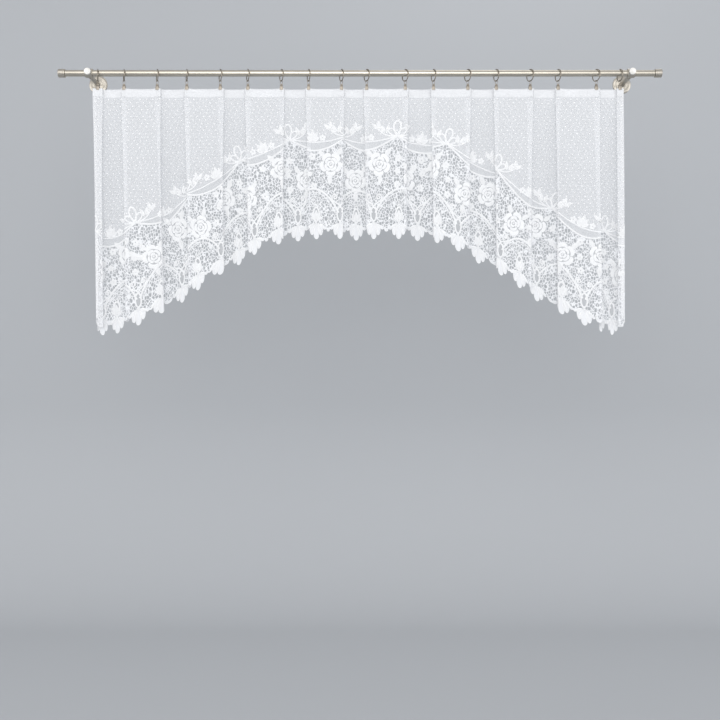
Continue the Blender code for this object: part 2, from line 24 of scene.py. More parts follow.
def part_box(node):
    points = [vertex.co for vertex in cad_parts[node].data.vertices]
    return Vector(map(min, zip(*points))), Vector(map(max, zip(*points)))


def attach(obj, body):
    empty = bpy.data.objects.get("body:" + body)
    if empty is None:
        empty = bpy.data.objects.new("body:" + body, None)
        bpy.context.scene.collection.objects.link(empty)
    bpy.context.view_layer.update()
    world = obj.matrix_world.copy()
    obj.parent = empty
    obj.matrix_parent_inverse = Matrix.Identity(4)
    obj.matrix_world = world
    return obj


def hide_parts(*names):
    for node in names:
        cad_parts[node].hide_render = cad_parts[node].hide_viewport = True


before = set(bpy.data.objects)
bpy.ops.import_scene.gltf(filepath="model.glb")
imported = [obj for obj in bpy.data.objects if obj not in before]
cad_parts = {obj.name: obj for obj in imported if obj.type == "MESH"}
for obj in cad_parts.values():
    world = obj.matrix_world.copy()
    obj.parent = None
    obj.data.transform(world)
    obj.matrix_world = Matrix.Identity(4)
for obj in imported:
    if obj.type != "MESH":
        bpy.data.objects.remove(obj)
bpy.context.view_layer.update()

log = logging.getLogger("net_curtain")

Point = tuple[float, float]
Path = list[Point]
Point3 = tuple[float, float, float]

# Neighbours lie this far apart.
SEAT_GAP = 0.0003
# Points nearer than this are one.
MERGE = 1e-6
# A cord of the lace is this share as high as it is wide.
CORD_FLATNESS = 0.42
# The leaves and petals are this thick.
CLOTH_THICKNESS = 0.0005
# The section of the net has this many points from one fold to the next.
POINTS_A_FOLD = 6


@dataclass(frozen=True)
class Fold:
    """One fold of the net, under one clip.

    x is the fold's middle at the heading, overlap the width of its three layers there, lean
    how far it drifts sideways by the hem, depth the step from the front panels to the back
    ones by the hem, swell how far the panel to its right bows, turn its ring's turn on the
    rod in degrees, and tips where the scallops' tips lie across that panel.
    """

    x: float
    overlap: float
    lean: float
    depth: float
    swell: float
    turn: float
    tips: tuple[float, ...]


FOLDS = (
    Fold(-0.781, 0.0310, 0.008, 0.018, 0.003, 14, (0.05, 0.57)),
    Fold(-0.703, 0.0160, 0.012, 0.020, 0.006, 18, (0.34, 1.00)),
    Fold(-0.604, 0.0210, 0.020, 0.022, 0.003, 20, (0.68,)),
    Fold(-0.516, 0.0170, 0.013, 0.018, 0.007, 17, (0.27, 0.96)),
    Fold(-0.416, 0.0220, 0.011, 0.021, 0.004, 21, (0.59,)),
    Fold(-0.334, 0.0185, 0.007, 0.019, 0.006, 19, (0.18, 0.90)),
    Fold(-0.234, 0.0170, 0.004, 0.020, 0.003, 22, (0.57,)),
    Fold(-0.153, 0.0185, 0.005, 0.018, 0.007, 17, (0.22, 0.94)),
    Fold(-0.055, 0.0175, 0.002, 0.021, 0.004, 20, (0.56,)),
    Fold(0.020, 0.0190, 0.003, 0.019, 0.008, 26, (0.17, 0.82)),
    Fold(0.135, 0.0185, 0.000, 0.022, 0.003, 28, (0.43,)),
    Fold(0.219, 0.0175, 0.004, 0.018, 0.007, 19, (0.07, 0.68)),
    Fold(0.321, 0.0185, 0.003, 0.020, 0.004, 27, (0.36,)),
    Fold(0.406, 0.0185, 0.004, 0.021, 0.006, 18, (0.09, 0.65)),
    Fold(0.507, 0.0200, -0.002, 0.019, 0.003, 26, (0.27,)),
    Fold(0.590, 0.0170, 0.001, 0.020, 0.008, 17, (0.05, 0.58)),
    Fold(0.704, 0.0200, 0.014, 0.022, 0.004, 25, (0.06, 0.60)),
    Fold(0.774, 0.0215, 0.003, 0.018, 0.003, 13, ()),
)


def mix(low: float, high: float, share: float) -> float:
    """The value a share of the way from low to high."""
    return low + (high - low) * share


def smoothstep(share: np.ndarray | float) -> np.ndarray | float:
    """An even S-curve from 0 to 1."""
    share = np.clip(share, 0.0, 1.0)
    return share * share * (3.0 - 2.0 * share)


def blur(values: np.ndarray, reach: int, axis: int) -> np.ndarray:
    """Averages a table over its neighbours, twice.

    Args:
        values: The table.
        reach: How many neighbours count on each side.
        axis: The axis to average along.

    Returns:
        A table of the same shape, with its edges held.
    """
    size = 2 * reach + 1
    for _ in range(2):
        widths = [(reach + 1, reach) if a == axis else (0, 0) for a in range(values.ndim)]
        sums = np.cumsum(np.pad(values, widths, mode="edge"), axis=axis)
        length = sums.shape[axis]
        high = np.take(sums, range(size, length), axis=axis)
        low = np.take(sums, range(0, length - size), axis=axis)
        values = (high - low) / size
    return values


@dataclass
class Scallop:
    """One scallop of the hem: where it starts, has its tip and stops, and whether it is a fan."""

    start: float
    tip: float
    stop: float
    fan: bool


@dataclass
class Pleats:
    """The hang of the net: three layers at each fold, which open below the tape."""

    rod_y: float
    top: float
    tape_turn: float = 0.0040
    plain_turn: float = 0.0016
    tape_turn_open: float = 0.0055
    plain_turn_open: float = 0.0045
    hem_overlap: float = 0.0065
    edge_overlap: float = 0.0200
    bulge_at: tuple[float, float] = (0.28, 0.72)
    sag: float = 0.0026
    drops: tuple[float, ...] = (0.0, 0.028, 0.120, 0.290, 0.800)
    openings: tuple[float, ...] = (0.0, 0.0, 0.45, 0.90, 1.0)
    arch_drop: float = 0.448
    arch_rise: float = 0.285
    arch_inner: float = 0.150
    arch_outer: float = 0.790
    scallop_half: float = 0.033
    scallop_height: float = 0.042
    filler_least: float = 0.012
    step_u: float = 0.0005
    step_v: float = 0.0060
    crease_blur: int = 2
    sag_blur: int = 12
    wave: float = 0.0016
    wave_full: float = 0.3
    waves: tuple[float, float] = (76.0, 133.0)
    wave_shares: tuple[float, float] = (0.6, 0.4)
    wave_phase: float = 1.3
    wave_drift: float = 5.0
    slope_reach: float = 0.045

    def __post_init__(self) -> None:
        """Works out the table of places, from the top edge to past the lowest tip."""
        self.side_drop = self.arch_drop + self.arch_rise
        heading = self.section(0.0)
        steps = np.linalg.norm(np.diff(heading[:, :2], axis=0), axis=1)
        self.column_u = np.concatenate([[0.0], np.cumsum(steps)])
        self.width = float(self.column_u[-1])
        self.arch_x = self.section(self.arch_drop)[:, 0]
        rows = np.arange(0.0, self.side_drop + 4 * self.step_v, self.step_v)
        columns = np.arange(0.0, self.width + self.step_u, self.step_u)
        table = np.empty((len(rows), len(columns), 3))
        for row, drop in enumerate(rows):
            section = self.section(drop)
            for axis in range(3):
                table[row, :, axis] = np.interp(columns, self.column_u, section[:, axis])
        table = blur(blur(table, self.crease_blur, axis=1), self.crease_blur, axis=0)
        x, y, sag = table[..., 0], table[..., 1], blur(table[..., 2], self.sag_blur, axis=1)
        drop = rows[:, None]
        swing = np.sin(x * self.waves[0] + self.wave_phase) * self.wave_shares[0]
        swing += np.sin(x * self.waves[1] + drop * self.wave_drift) * self.wave_shares[1]
        y = y + self.wave * smoothstep(drop / self.wave_full) * swing
        self.places = np.stack([x, y, self.top - drop - sag], axis=-1)
        along = np.gradient(self.places, axis=1)
        down = np.gradient(self.places, axis=0)
        normals = np.cross(along, -down)
        self.normals = normals / np.linalg.norm(normals, axis=-1, keepdims=True)

    def section(self, drop: float) -> np.ndarray:
        """The line of the net at one drop, as rows of x, y and the dip between clips."""
        opening = float(np.interp(drop, self.drops, self.openings))
        rows: list[Point3] = []
        last = len(FOLDS) - 1
        for index, fold in enumerate(FOLDS):
            middle = fold.x + fold.lean * drop / self.side_drop
            by_hem = self.edge_overlap if index in (0, last) else self.hem_overlap
            half = mix(fold.overlap, by_hem, opening) / 2
            step = mix(self.tape_turn + self.plain_turn, fold.depth, opening) / 2
            taped = mix(self.tape_turn, self.tape_turn_open, opening)
            plain = mix(self.plain_turn, self.plain_turn_open, opening)
            depths = [-step, -step + taped, step - plain, step]
            if index % 2:
                depths = depths[::-1]
            depths = [self.rod_y + depth for depth in depths]
            far, near = middle + half, middle - half
            if index == 0:
                rows.append((near, depths[0], 0.0))
            else:
                rows += self.bow(rows[-1], (far, depths[0]), index - 1, opening)
            rows += [(far, depths[0], 0.0), (far, depths[1], 0.0)]
            rows += [(near, depths[2], 0.0), (near, depths[3], 0.0)]
        rows.append((far, depths[3], 0.0))
        return np.array(rows)

    def bow(
        self, start: Point3, stop: Point, index: int, opening: float
    ) -> list[Point3]:
        """The two places where the panel to the right of a fold bows.

        Args:
            start: Where the panel leaves the fold.
            stop: Where it arrives at the next one.
            index: The fold's number.
            opening: How far the pleats have opened here.

        Returns:
            Rows of x, y and the dip between clips.
        """
        outwards = (-1 if index % 2 else 1) * FOLDS[index].swell * opening
        return [
            (
                mix(start[0], stop[0], share),
                mix(start[1], stop[1], share) + outwards,
                self.sag,
            )
            for share in self.bulge_at
        ]

    def place(self, flat: np.ndarray) -> np.ndarray:
        """Where points of a flat drawing hang.

        Args:
            flat: Rows of x, y and lift in the plane of the cut.

        Returns:
            Rows of x, y and z in the object's frame.
        """
        across = np.clip(flat[:, 0], 0.0, self.width) / self.step_u
        down = np.clip(-flat[:, 1], 0.0, None) / self.step_v
        column = np.clip(across.astype(int), 0, self.places.shape[1] - 2)
        row = np.clip(down.astype(int), 0, self.places.shape[0] - 2)
        a, b = (across - column)[:, None], np.clip(down - row, 0.0, 1.0)[:, None]

        def read(table: np.ndarray) -> np.ndarray:
            """Reads a table between its rows and columns."""
            above = table[row, column] * (1 - a) + table[row, column + 1] * a
            below = table[row + 1, column] * (1 - a) + table[row + 1, column + 1] * a
            return above * (1 - b) + below * b

        return read(self.places) + read(self.normals) * flat[:, 2:3]

    def tip_drop(self, u: np.ndarray | float) -> np.ndarray | float:
        """How far below the top edge the scallops' tips lie."""
        across = np.abs(np.interp(u, self.column_u, self.arch_x))
        share = (across - self.arch_inner) / (self.arch_outer - self.arch_inner)
        return self.arch_drop + self.arch_rise * smoothstep(share)

    def slope(self, u: float) -> float:
        """The turn of the hem's arch at u, smoothed over a hand's width."""
        low, high = max(u - self.slope_reach, 0.0), min(u + self.slope_reach, self.width)
        return math.atan2(self.tip_drop(low) - self.tip_drop(high), high - low)

    def scallops(self) -> list[Scallop]:
        """The hem's scallops from left to right: fans that show, and tabs inside folds."""
        tips: list[float] = []
        last = len(FOLDS) - 1
        for index, fold in enumerate(FOLDS[:-1]):
            first = POINTS_A_FOLD * index
            start, stop = self.column_u[first + 4], self.column_u[first + 7]
            before = (self.edge_overlap if index == 0 else self.hem_overlap) / 2
            after = (self.edge_overlap if index + 1 == last else self.hem_overlap) / 2
            across = FOLDS[index + 1].x - fold.x
            for tip in fold.tips:
                share = (tip * across + before) / (across + before + after)
                tips.append(mix(start, stop, share))
        found: list[Scallop] = []
        reached = 0.0
        half = self.scallop_half
        for tip, after in zip(tips, tips[1:] + [self.width + half]):
            start = max(tip - half, reached)
            if start - reached > self.filler_least:
                found.append(Scallop(reached, (reached + start) / 2, start, False))
            else:
                start = reached
            reached = min(tip + half, (tip + after) / 2)
            found.append(Scallop(start, tip, reached, True))
        found.append(Scallop(reached, (reached + self.width) / 2, self.width, False))
        return found


@dataclass(frozen=True)
class Lobe:
    """One lobe of a fan: where it lies across, its half width, its lowest height, its depth."""

    across: float
    half: float
    low: float
    deep: float


@dataclass(frozen=True)
class LaceLayout:
    """Where the bands of the lace lie: heights above the tips, and the pitch of its repeats."""

    rose_pitch: float = 0.116
    rose_low: float = 0.178
    rose_high: float = 0.222
    rose_radius: float = 0.0352
    swag_low: float = 0.262
    swag_rise: float = 0.044
    swag_slack: float = 0.019
    arch_foot: float = 0.060
    arch_crown: float = 0.148
    drop_height: float = 0.073
    drop_half: tuple[float, float] = (0.0074, 0.0184)
    fan_top: float = 0.047
    lobes: tuple[Lobe, ...] = (
        Lobe(0.00, 0.27, 0.00, 0.38),
        Lobe(0.44, 0.21, 0.28, 0.42),
        Lobe(0.85, 0.22, 0.68, 0.34),
    )
    gap_angles: tuple[tuple[float, tuple[float, ...]], ...] = (
        (0.041, (-8, 22, 52, 128, 158, 188)),
        (0.053, (38, 66, 114, 142)),
    )
    gap_length: float = 0.0080
    gap_width: float = 0.0056
    gap_spacing: float = 0.0105
    gap_margin: float = 0.0050
    gap_sides: int = 10
    tab_low: float = 0.55
    tab_deep: float = 0.45
    edge_step: float = 0.0015

    def rose_count(self, pleats: Pleats) -> int:
        """How many roses fit across the cut."""
        return round(pleats.width / self.rose_pitch)

    def rose_places(self, pleats: Pleats) -> list[Point]:
        """The middles of the roses, low and high in turn, as (x, height above the tips)."""
        count = self.rose_count(pleats)
        pitch = pleats.width / count
        return [(pitch * (number + 0.5), self.rose_high if number % 2 else self.rose_low)
                for number in range(count)]

    def roses(self, pleats: Pleats) -> list[Point]:
        """The middles of the roses, as (x, y) on the cut."""
        return [(u, height - float(pleats.tip_drop(u)))
                for u, height in self.rose_places(pleats)]

    def swag(self, u: np.ndarray | float, pleats: Pleats) -> np.ndarray | float:
        """The height of the cord that swings from knot to knot above the roses."""
        count = self.rose_count(pleats)
        swing = np.abs(np.sin(np.asarray(u) * math.pi * count / pleats.width / 2))
        return self.swag_low + self.swag_rise * (1.0 - swing)

    def swag_top(self, u: np.ndarray | float, pleats: Pleats) -> np.ndarray | float:
        """The height of the upper cord of the swags, which is drawn tighter."""
        share = (self.swag(u, pleats) - self.swag_low) / self.swag_rise
        return self.swag_low + self.swag_rise - self.swag_slack * (1.0 - share)

    def gaps(self, pleats: Pleats) -> list[Point3]:
        """The largest gaps, beside and below each rose, as (x, y, turn)."""
        found: list[Point3] = []
        reach = self.gap_length / 2 + self.gap_margin
        for centre, height in self.rose_places(pleats):
            for ring, angles in self.gap_angles:
                for angle in map(math.radians, angles):
                    u = centre + ring * math.cos(angle)
                    if not reach + self.gap_margin < u < pleats.width - reach - self.gap_margin:
                        continue
                    y = height - float(pleats.tip_drop(u)) - ring * math.sin(angle)
                    apart = all(math.hypot(u - x, y - z) > self.gap_spacing for x, z, _ in found)
                    if apart and not self.in_fold(u, reach, pleats):
                        found.append((u, y, -angle))
        return found

    def gap_rim(self, gap: Point3) -> Path:
        """The rim of a gap, as (x, y) on the cut."""
        x, y, turn = gap
        return ellipse((x, y), self.gap_length / 2, self.gap_width / 2, self.gap_sides, turn)

    @staticmethod
    def in_fold(u: float, reach: float, pleats: Pleats) -> bool:
        """Whether this width of cloth reaches into the layers of a fold."""
        columns = pleats.column_u
        return any(
            columns[first + 1] - reach < u < columns[first + 4] + reach
            for first in range(0, POINTS_A_FOLD * len(FOLDS), POINTS_A_FOLD)
        )

    def fan_height(self, across: float) -> float:
        """A fan's lower edge at a share of its half width, as a share of its height."""
        heights = [1.0]
        for lobe in self.lobes:
            share = (abs(across) - lobe.across) / lobe.half
            if abs(share) < 1.0:
                heights.append(lobe.low + lobe.deep * (1.0 - math.sqrt(1.0 - share * share)))
        return min(heights)

    def edge(self, scallop: Scallop, pleats: Pleats) -> Path:
        """A scallop's lower edge from left to right, as (x, y) on the cut."""
        points: Path = []
        steps = max(4, round((scallop.stop - scallop.start) / self.edge_step))
        for step in range(steps + 1):
            u = mix(scallop.start, scallop.stop, step / steps)
            side = scallop.start if u < scallop.tip else scallop.stop
            across = (u - scallop.tip) / (side - scallop.tip)
            tab = self.tab_low + self.tab_deep * across**4
            height = self.fan_height(across) if scallop.fan else tab
            points.append((u, height * pleats.scallop_height - float(pleats.tip_drop(u))))
        return points

    def hem(self, pleats: Pleats) -> Path:
        """The hem's outline from left to right, as (x, y) on the cut."""
        outline: Path = []
        for scallop in pleats.scallops():
            outline += self.edge(scallop, pleats)[:-1]
        u = pleats.width
        outline.append((u, pleats.scallop_height - float(pleats.tip_drop(u))))
        return outline


class Finish:
    """Shared ways of making node materials."""

    @staticmethod
    def blank(name: str) -> tuple[bpy.types.Material, bpy.types.Node]:
        """A new material with one Principled shader.

        Args:
            name: The material's name.

        Returns:
            The material and its shader node.
        """
        material = bpy.data.materials.new(name)
        material.use_nodes = True
        return material, material.node_tree.nodes["Principled BSDF"]

    @staticmethod
    def add(tree: bpy.types.NodeTree, kind: str, **values: object) -> bpy.types.Node:
        """A new node; a value goes to the input of that name, or to the node's own setting."""
        node = tree.nodes.new(kind)
        for key, value in values.items():
            name = key.replace("_", " ").title()
            if hasattr(node, key):
                setattr(node, key, value)
            elif name in node.inputs:
                node.inputs[name].default_value = value
            else:
                raise KeyError(f"{kind} has no {key}")
        return node

    @staticmethod
    def maths(tree: bpy.types.NodeTree, operation: str, first: object, second: object = 0.0):
        """The output of a Math node on two sockets or numbers."""
        node = tree.nodes.new("ShaderNodeMath")
        node.operation = operation
        for socket, value in zip(node.inputs, (first, second)):
            if isinstance(value, (int, float)):
                socket.default_value = value
            else:
                tree.links.new(value, socket)
        return node.outputs[0]

    @staticmethod
    def ramp(tree: bpy.types.NodeTree, value: object, low: float, high: float,
             first: float, last: float, smooth: bool = True):
        """The output of a Map Range node, clamped."""
        node = tree.nodes.new("ShaderNodeMapRange")
        node.interpolation_type = "SMOOTHSTEP" if smooth else "LINEAR"
        tree.links.new(value, node.inputs["Value"])
        for name, number in (("From Min", low), ("From Max", high), ("To Min", first),
                             ("To Max", last)):
            node.inputs[name].default_value = number
        return node.outputs["Result"]

    @staticmethod
    def blend(tree: bpy.types.NodeTree, share: object, first: object, last: object):
        """The output of a Mix node on two numbers or sockets."""
        node = tree.nodes.new("ShaderNodeMix")
        for name, value in (("Factor", share), ("A", first), ("B", last)):
            if isinstance(value, (int, float)):
                node.inputs[name].default_value = value
            else:
                tree.links.new(value, node.inputs[name])
        return node.outputs["Result"]

    @staticmethod
    def tint(tree: bpy.types.NodeTree, shader: bpy.types.Node, colour: Point3,
             tone: object) -> None:
        """Gives the shader a colour that a tone makes lighter or darker."""
        scaled = tree.nodes.new("ShaderNodeVectorMath")
        scaled.operation = "SCALE"
        scaled.inputs[0].default_value = colour
        tree.links.new(tone, scaled.inputs["Scale"])
        tree.links.new(scaled.outputs[0], shader.inputs["Base Color"])

    @classmethod
    def bump(cls, tree: bpy.types.NodeTree, shader: bpy.types.Node, height: object,
             strength: float, distance: float) -> None:
        """Gives the shader the relief of a height."""
        node = cls.add(tree, "ShaderNodeBump", strength=strength, distance=distance)
        tree.links.new(height, node.inputs["Height"])
        tree.links.new(node.outputs["Normal"], shader.inputs["Normal"])


class Groups:
    """Shader node groups that more than one material uses, each built once."""

    made: dict[str, bpy.types.NodeTree] = {}

    @classmethod
    def group(cls, name: str, inputs: Sequence[tuple[str, str, object]],
              outputs: Sequence[tuple[str, str]]) -> tuple[bpy.types.NodeTree, object, object]:
        """A new group with its sockets.

        Args:
            name: The group's name.
            inputs: Name, socket type and default of each input.
            outputs: Name and socket type of each output.

        Returns:
            The group, its input node and its output node.
        """
        tree = bpy.data.node_groups.new(name, "ShaderNodeTree")
        for label, kind, default in inputs:
            socket = tree.interface.new_socket(label, in_out="INPUT", socket_type=kind)
            if default is not None:
                socket.default_value = default
        for label, kind in outputs:
            tree.interface.new_socket(label, in_out="OUTPUT", socket_type=kind)
        cls.made[name] = tree
        return tree, tree.nodes.new("NodeGroupInput"), tree.nodes.new("NodeGroupOutput")

    @classmethod
    def net_mesh(cls) -> bpy.types.NodeTree:
        """Slanting threads that cross in diamonds: a mask of 1 on the threads."""
        if "net_mesh" in cls.made:
            return cls.made["net_mesh"]
        tree, given, out = cls.group(
            "net_mesh",
            (("Vector", "NodeSocketVector", None), ("Pitch", "NodeSocketFloat", 0.0018),
             ("Thread", "NodeSocketFloat", 0.16)),
            (("Threads", "NodeSocketFloat"),),
        )
        parts = tree.nodes.new("ShaderNodeSeparateXYZ")
        tree.links.new(given.outputs["Vector"], parts.inputs[0])
        masks = []
        for operation in ("ADD", "SUBTRACT"):
            slant = Finish.maths(tree, operation, parts.outputs["X"], parts.outputs["Y"])
            turns = Finish.maths(tree, "DIVIDE", slant, given.outputs["Pitch"])
            away = Finish.maths(tree, "PINGPONG", turns, 0.5)
            near = Finish.maths(tree, "DIVIDE", away, given.outputs["Thread"])
            masks.append(Finish.ramp(tree, near, 0.55, 1.25, 1.0, 0.0))
        both = Finish.maths(tree, "MAXIMUM", *masks)
        tree.links.new(both, out.inputs["Threads"])
        return tree

    @classmethod
    def yarn(cls) -> bpy.types.NodeTree:
        """The uneven fibre of yarn: a tone near 1, and a height for bump."""
        if "yarn" in cls.made:
            return cls.made["yarn"]
        tree, given, out = cls.group(
            "yarn",
            (("Vector", "NodeSocketVector", None), ("Size", "NodeSocketFloat", 900.0),
             ("Depth", "NodeSocketFloat", 0.06)),
            (("Tone", "NodeSocketFloat"), ("Height", "NodeSocketFloat")),
        )
        fine = Finish.add(tree, "ShaderNodeTexNoise", detail=3.0, roughness=0.6)
        coarse = Finish.add(tree, "ShaderNodeTexNoise", scale=26.0, detail=2.0)
        for noise in (fine, coarse):
            tree.links.new(given.outputs["Vector"], noise.inputs["Vector"])
        tree.links.new(given.outputs["Size"], fine.inputs["Scale"])
        both = Finish.maths(tree, "ADD", fine.outputs["Fac"], coarse.outputs["Fac"])
        around = Finish.maths(tree, "SUBTRACT", both, 1.0)
        shade = Finish.maths(tree, "MULTIPLY", around, given.outputs["Depth"])
        tree.links.new(Finish.maths(tree, "ADD", shade, 1.0), out.inputs["Tone"])
        tree.links.new(fine.outputs["Fac"], out.inputs["Height"])
        return tree

    @classmethod
    def brushed(cls) -> bpy.types.NodeTree:
        """Fine brush lines along one way: a roughness and a height."""
        if "brushed" in cls.made:
            return cls.made["brushed"]
        tree, given, out = cls.group(
            "brushed",
            (("Vector", "NodeSocketVector", None), ("Rough", "NodeSocketFloat", 0.3),
             ("Spread", "NodeSocketFloat", 0.12)),
            (("Roughness", "NodeSocketFloat"), ("Height", "NodeSocketFloat")),
        )
        lines = Finish.add(tree, "ShaderNodeTexNoise", scale=1.0, detail=4.0, roughness=0.65)
        tree.links.new(given.outputs["Vector"], lines.inputs["Vector"])
        around = Finish.maths(tree, "SUBTRACT", lines.outputs["Fac"], 0.5)
        spread = Finish.maths(tree, "MULTIPLY", around, given.outputs["Spread"])
        tree.links.new(Finish.maths(tree, "ADD", given.outputs["Rough"], spread),
                       out.inputs["Roughness"])
        tree.links.new(lines.outputs["Fac"], out.inputs["Height"])
        return tree


def use_group(tree: bpy.types.NodeTree, group: bpy.types.NodeTree, vector: object,
              **values: float) -> bpy.types.Node:
    """Places a group in a material and sets its values.

    Args:
        tree: The material's tree.
        group: The group.
        vector: The coordinates that it reads.
        **values: Its inputs by name, in lower case.

    Returns:
        The group's node.
    """
    node = tree.nodes.new("ShaderNodeGroup")
    node.node_tree = group
    tree.links.new(vector, node.inputs["Vector"])
    for key, value in values.items():
        node.inputs[key.title()].default_value = value
    return node


@dataclass(frozen=True)
class LaceYarn:
    """The finish of white lace cloth, plain or half open."""

    name: str
    colour: Point3 = (0.93, 0.935, 0.945)
    roughness: float = 0.82
    sheen: float = 0.45
    specular: float = 0.25
    open_share: float = 0.0
    thread_alpha: float = 0.98
    pitch: float = 0.0012
    thread: float = 0.24
    fibre: float = 1100.0
    fibre_depth: float = 0.07
    relief: float = 0.00012

    def make(self) -> bpy.types.Material:
        """The material."""
        material, shader = Finish.blank(self.name)
        tree = material.node_tree
        cut = Finish.add(tree, "ShaderNodeUVMap", uv_map="cut").outputs["UV"]
        yarn = use_group(tree, Groups.yarn(), cut, size=self.fibre, depth=self.fibre_depth)
        net = use_group(tree, Groups.net_mesh(), cut, pitch=self.pitch, thread=self.thread)
        Finish.tint(tree, shader, self.colour, yarn.outputs["Tone"])
        shader.inputs["Roughness"].default_value = self.roughness
        shader.inputs["Sheen Weight"].default_value = self.sheen
        shader.inputs["Specular IOR Level"].default_value = self.specular
        if self.open_share:
            alpha = Finish.ramp(tree, net.outputs["Threads"], 0.0, 1.0,
                                1.0 - self.open_share, self.thread_alpha)
            tree.links.new(alpha, shader.inputs["Alpha"])
        height = Finish.maths(tree, "ADD", net.outputs["Threads"], yarn.outputs["Height"])
        Finish.bump(tree, shader, height, strength=0.6, distance=self.relief)
        return material


@dataclass(frozen=True)
class NetCloth:
    """The finish of the net itself, told apart by the UV maps bands, fans, drops and roses:
    fine net, meshed swags, a ground of uneven cells, netted drops and roses, and dense fans.

    field, swag, drop and rose each hold a pitch, the alpha of a hole and that of a thread.
    cell_cord holds where a cell's cord starts to thin out and where its hole begins.
    """

    layout: LaceLayout
    colour: Point3 = (0.88, 0.89, 0.91)
    roughness: float = 0.85
    sheen: float = 0.70
    specular: float = 0.2
    fibre: float = 1300.0
    fibre_depth: float = 0.08
    relief: float = 0.0001
    thread: float = 0.17
    swag_thread: float = 0.15
    field: Point3 = (0.0019, 0.28, 0.78)
    swag: Point3 = (0.0037, 0.10, 0.95)
    drop: Point3 = (0.0015, 0.08, 0.46)
    rose: Point3 = (0.0014, 0.18, 0.46)
    ground_cell: tuple[float, float] = (0.0074, 0.0098)
    ground_hole: float = 0.03
    ground_thread: float = 0.94
    cell_cord: tuple[float, float] = (0.070, 0.130)
    cell_unevenness: float = 0.85
    fan: float = 0.90
    fan_slope: float = 0.34
    fan_blur: float = 0.0005
    band_blur: float = 0.0004

    @staticmethod
    def parts(tree: bpy.types.NodeTree, name: str) -> tuple[object, object]:
        """The two values of a UV map."""
        apart = tree.nodes.new("ShaderNodeSeparateXYZ")
        uv = Finish.add(tree, "ShaderNodeUVMap", uv_map=name)
        tree.links.new(uv.outputs["UV"], apart.inputs[0])
        return apart.outputs["X"], apart.outputs["Y"]

    @classmethod
    def ellipse_mask(cls, tree: bpy.types.NodeTree, name: str, half: Point) -> object:
        """A mask of 1 inside an ellipse round the middle of a UV map."""
        shares = [Finish.maths(tree, "DIVIDE", value, reach)
                  for value, reach in zip(cls.parts(tree, name), half)]
        squares = [Finish.maths(tree, "MULTIPLY", share, share) for share in shares]
        return Finish.ramp(tree, Finish.maths(tree, "ADD", *squares), 0.93, 1.07, 1.0, 0.0)

    @staticmethod
    def mesh_alpha(tree: bpy.types.NodeTree, cut: object, pitch: float, hole: float,
                   thread: float, share: float) -> tuple[object, object]:
        """The alpha of one net, and its threads' mask.

        Args:
            tree: The material's tree.
            cut: The coordinates on the cut.
            pitch: The distance between threads.
            hole: The alpha in a hole.
            thread: The alpha on a thread.
            share: Half a thread's width as a share of the pitch.

        Returns:
            The two sockets.
        """
        net = use_group(tree, Groups.net_mesh(), cut, pitch=pitch, thread=share)
        mask = net.outputs["Threads"]
        return Finish.ramp(tree, mask, 0.0, 1.0, hole, thread), mask

    def make(self) -> bpy.types.Material:
        """The material."""
        material, shader = Finish.blank("white_net")
        tree = material.node_tree
        cut = Finish.add(tree, "ShaderNodeUVMap", uv_map="cut").outputs["UV"]
        below, under_top = self.parts(tree, "bands")
        height, aside = self.parts(tree, "fans")
        alpha, threads = self.mesh_alpha(tree, cut, *self.field, self.thread)
        blur_band = (-self.band_blur, self.band_blur, 0.0, 1.0, False)
        in_swag = Finish.ramp(tree, under_top, *blur_band)
        swag_alpha = self.mesh_alpha(tree, cut, *self.swag, self.swag_thread)[0]
        alpha = Finish.blend(tree, in_swag, alpha, swag_alpha)
        stretch = tree.nodes.new("ShaderNodeVectorMath")
        stretch.operation = "DIVIDE"
        stretch.inputs[1].default_value = (*self.ground_cell, 1.0)
        tree.links.new(cut, stretch.inputs[0])
        cells = Finish.add(tree, "ShaderNodeTexVoronoi", feature="DISTANCE_TO_EDGE",
                           scale=1.0, randomness=self.cell_unevenness)
        tree.links.new(stretch.outputs[0], cells.inputs["Vector"])
        ground_alpha = Finish.ramp(tree, cells.outputs["Distance"], *self.cell_cord,
                                   self.ground_thread, self.ground_hole)
        in_ground = Finish.ramp(tree, below, *blur_band)
        alpha = Finish.blend(tree, in_ground, alpha, ground_alpha)
        rose_half = (self.layout.rose_radius, self.layout.rose_radius)
        for name, half, net in (("drops", self.layout.drop_half, self.drop),
                                ("roses", rose_half, self.rose)):
            inside = self.ellipse_mask(tree, name, half)
            inner_alpha = self.mesh_alpha(tree, cut, *net, self.thread)[0]
            alpha = Finish.blend(tree, inside, alpha, inner_alpha)
        top = self.layout.fan_top
        lower = Finish.maths(tree, "MULTIPLY", aside, self.fan_slope)
        sloped = Finish.maths(tree, "ADD", height, lower)
        in_fan = Finish.ramp(tree, sloped, top - self.fan_blur, top + self.fan_blur,
                             1.0, 0.0, False)
        alpha = Finish.blend(tree, in_fan, alpha, self.fan)
        tree.links.new(alpha, shader.inputs["Alpha"])
        yarn = use_group(tree, Groups.yarn(), cut, size=self.fibre, depth=self.fibre_depth)
        Finish.tint(tree, shader, self.colour, yarn.outputs["Tone"])
        shader.inputs["Roughness"].default_value = self.roughness
        shader.inputs["Sheen Weight"].default_value = self.sheen
        shader.inputs["Specular IOR Level"].default_value = self.specular
        Finish.bump(tree, shader, threads, strength=0.5, distance=self.relief)
        return material


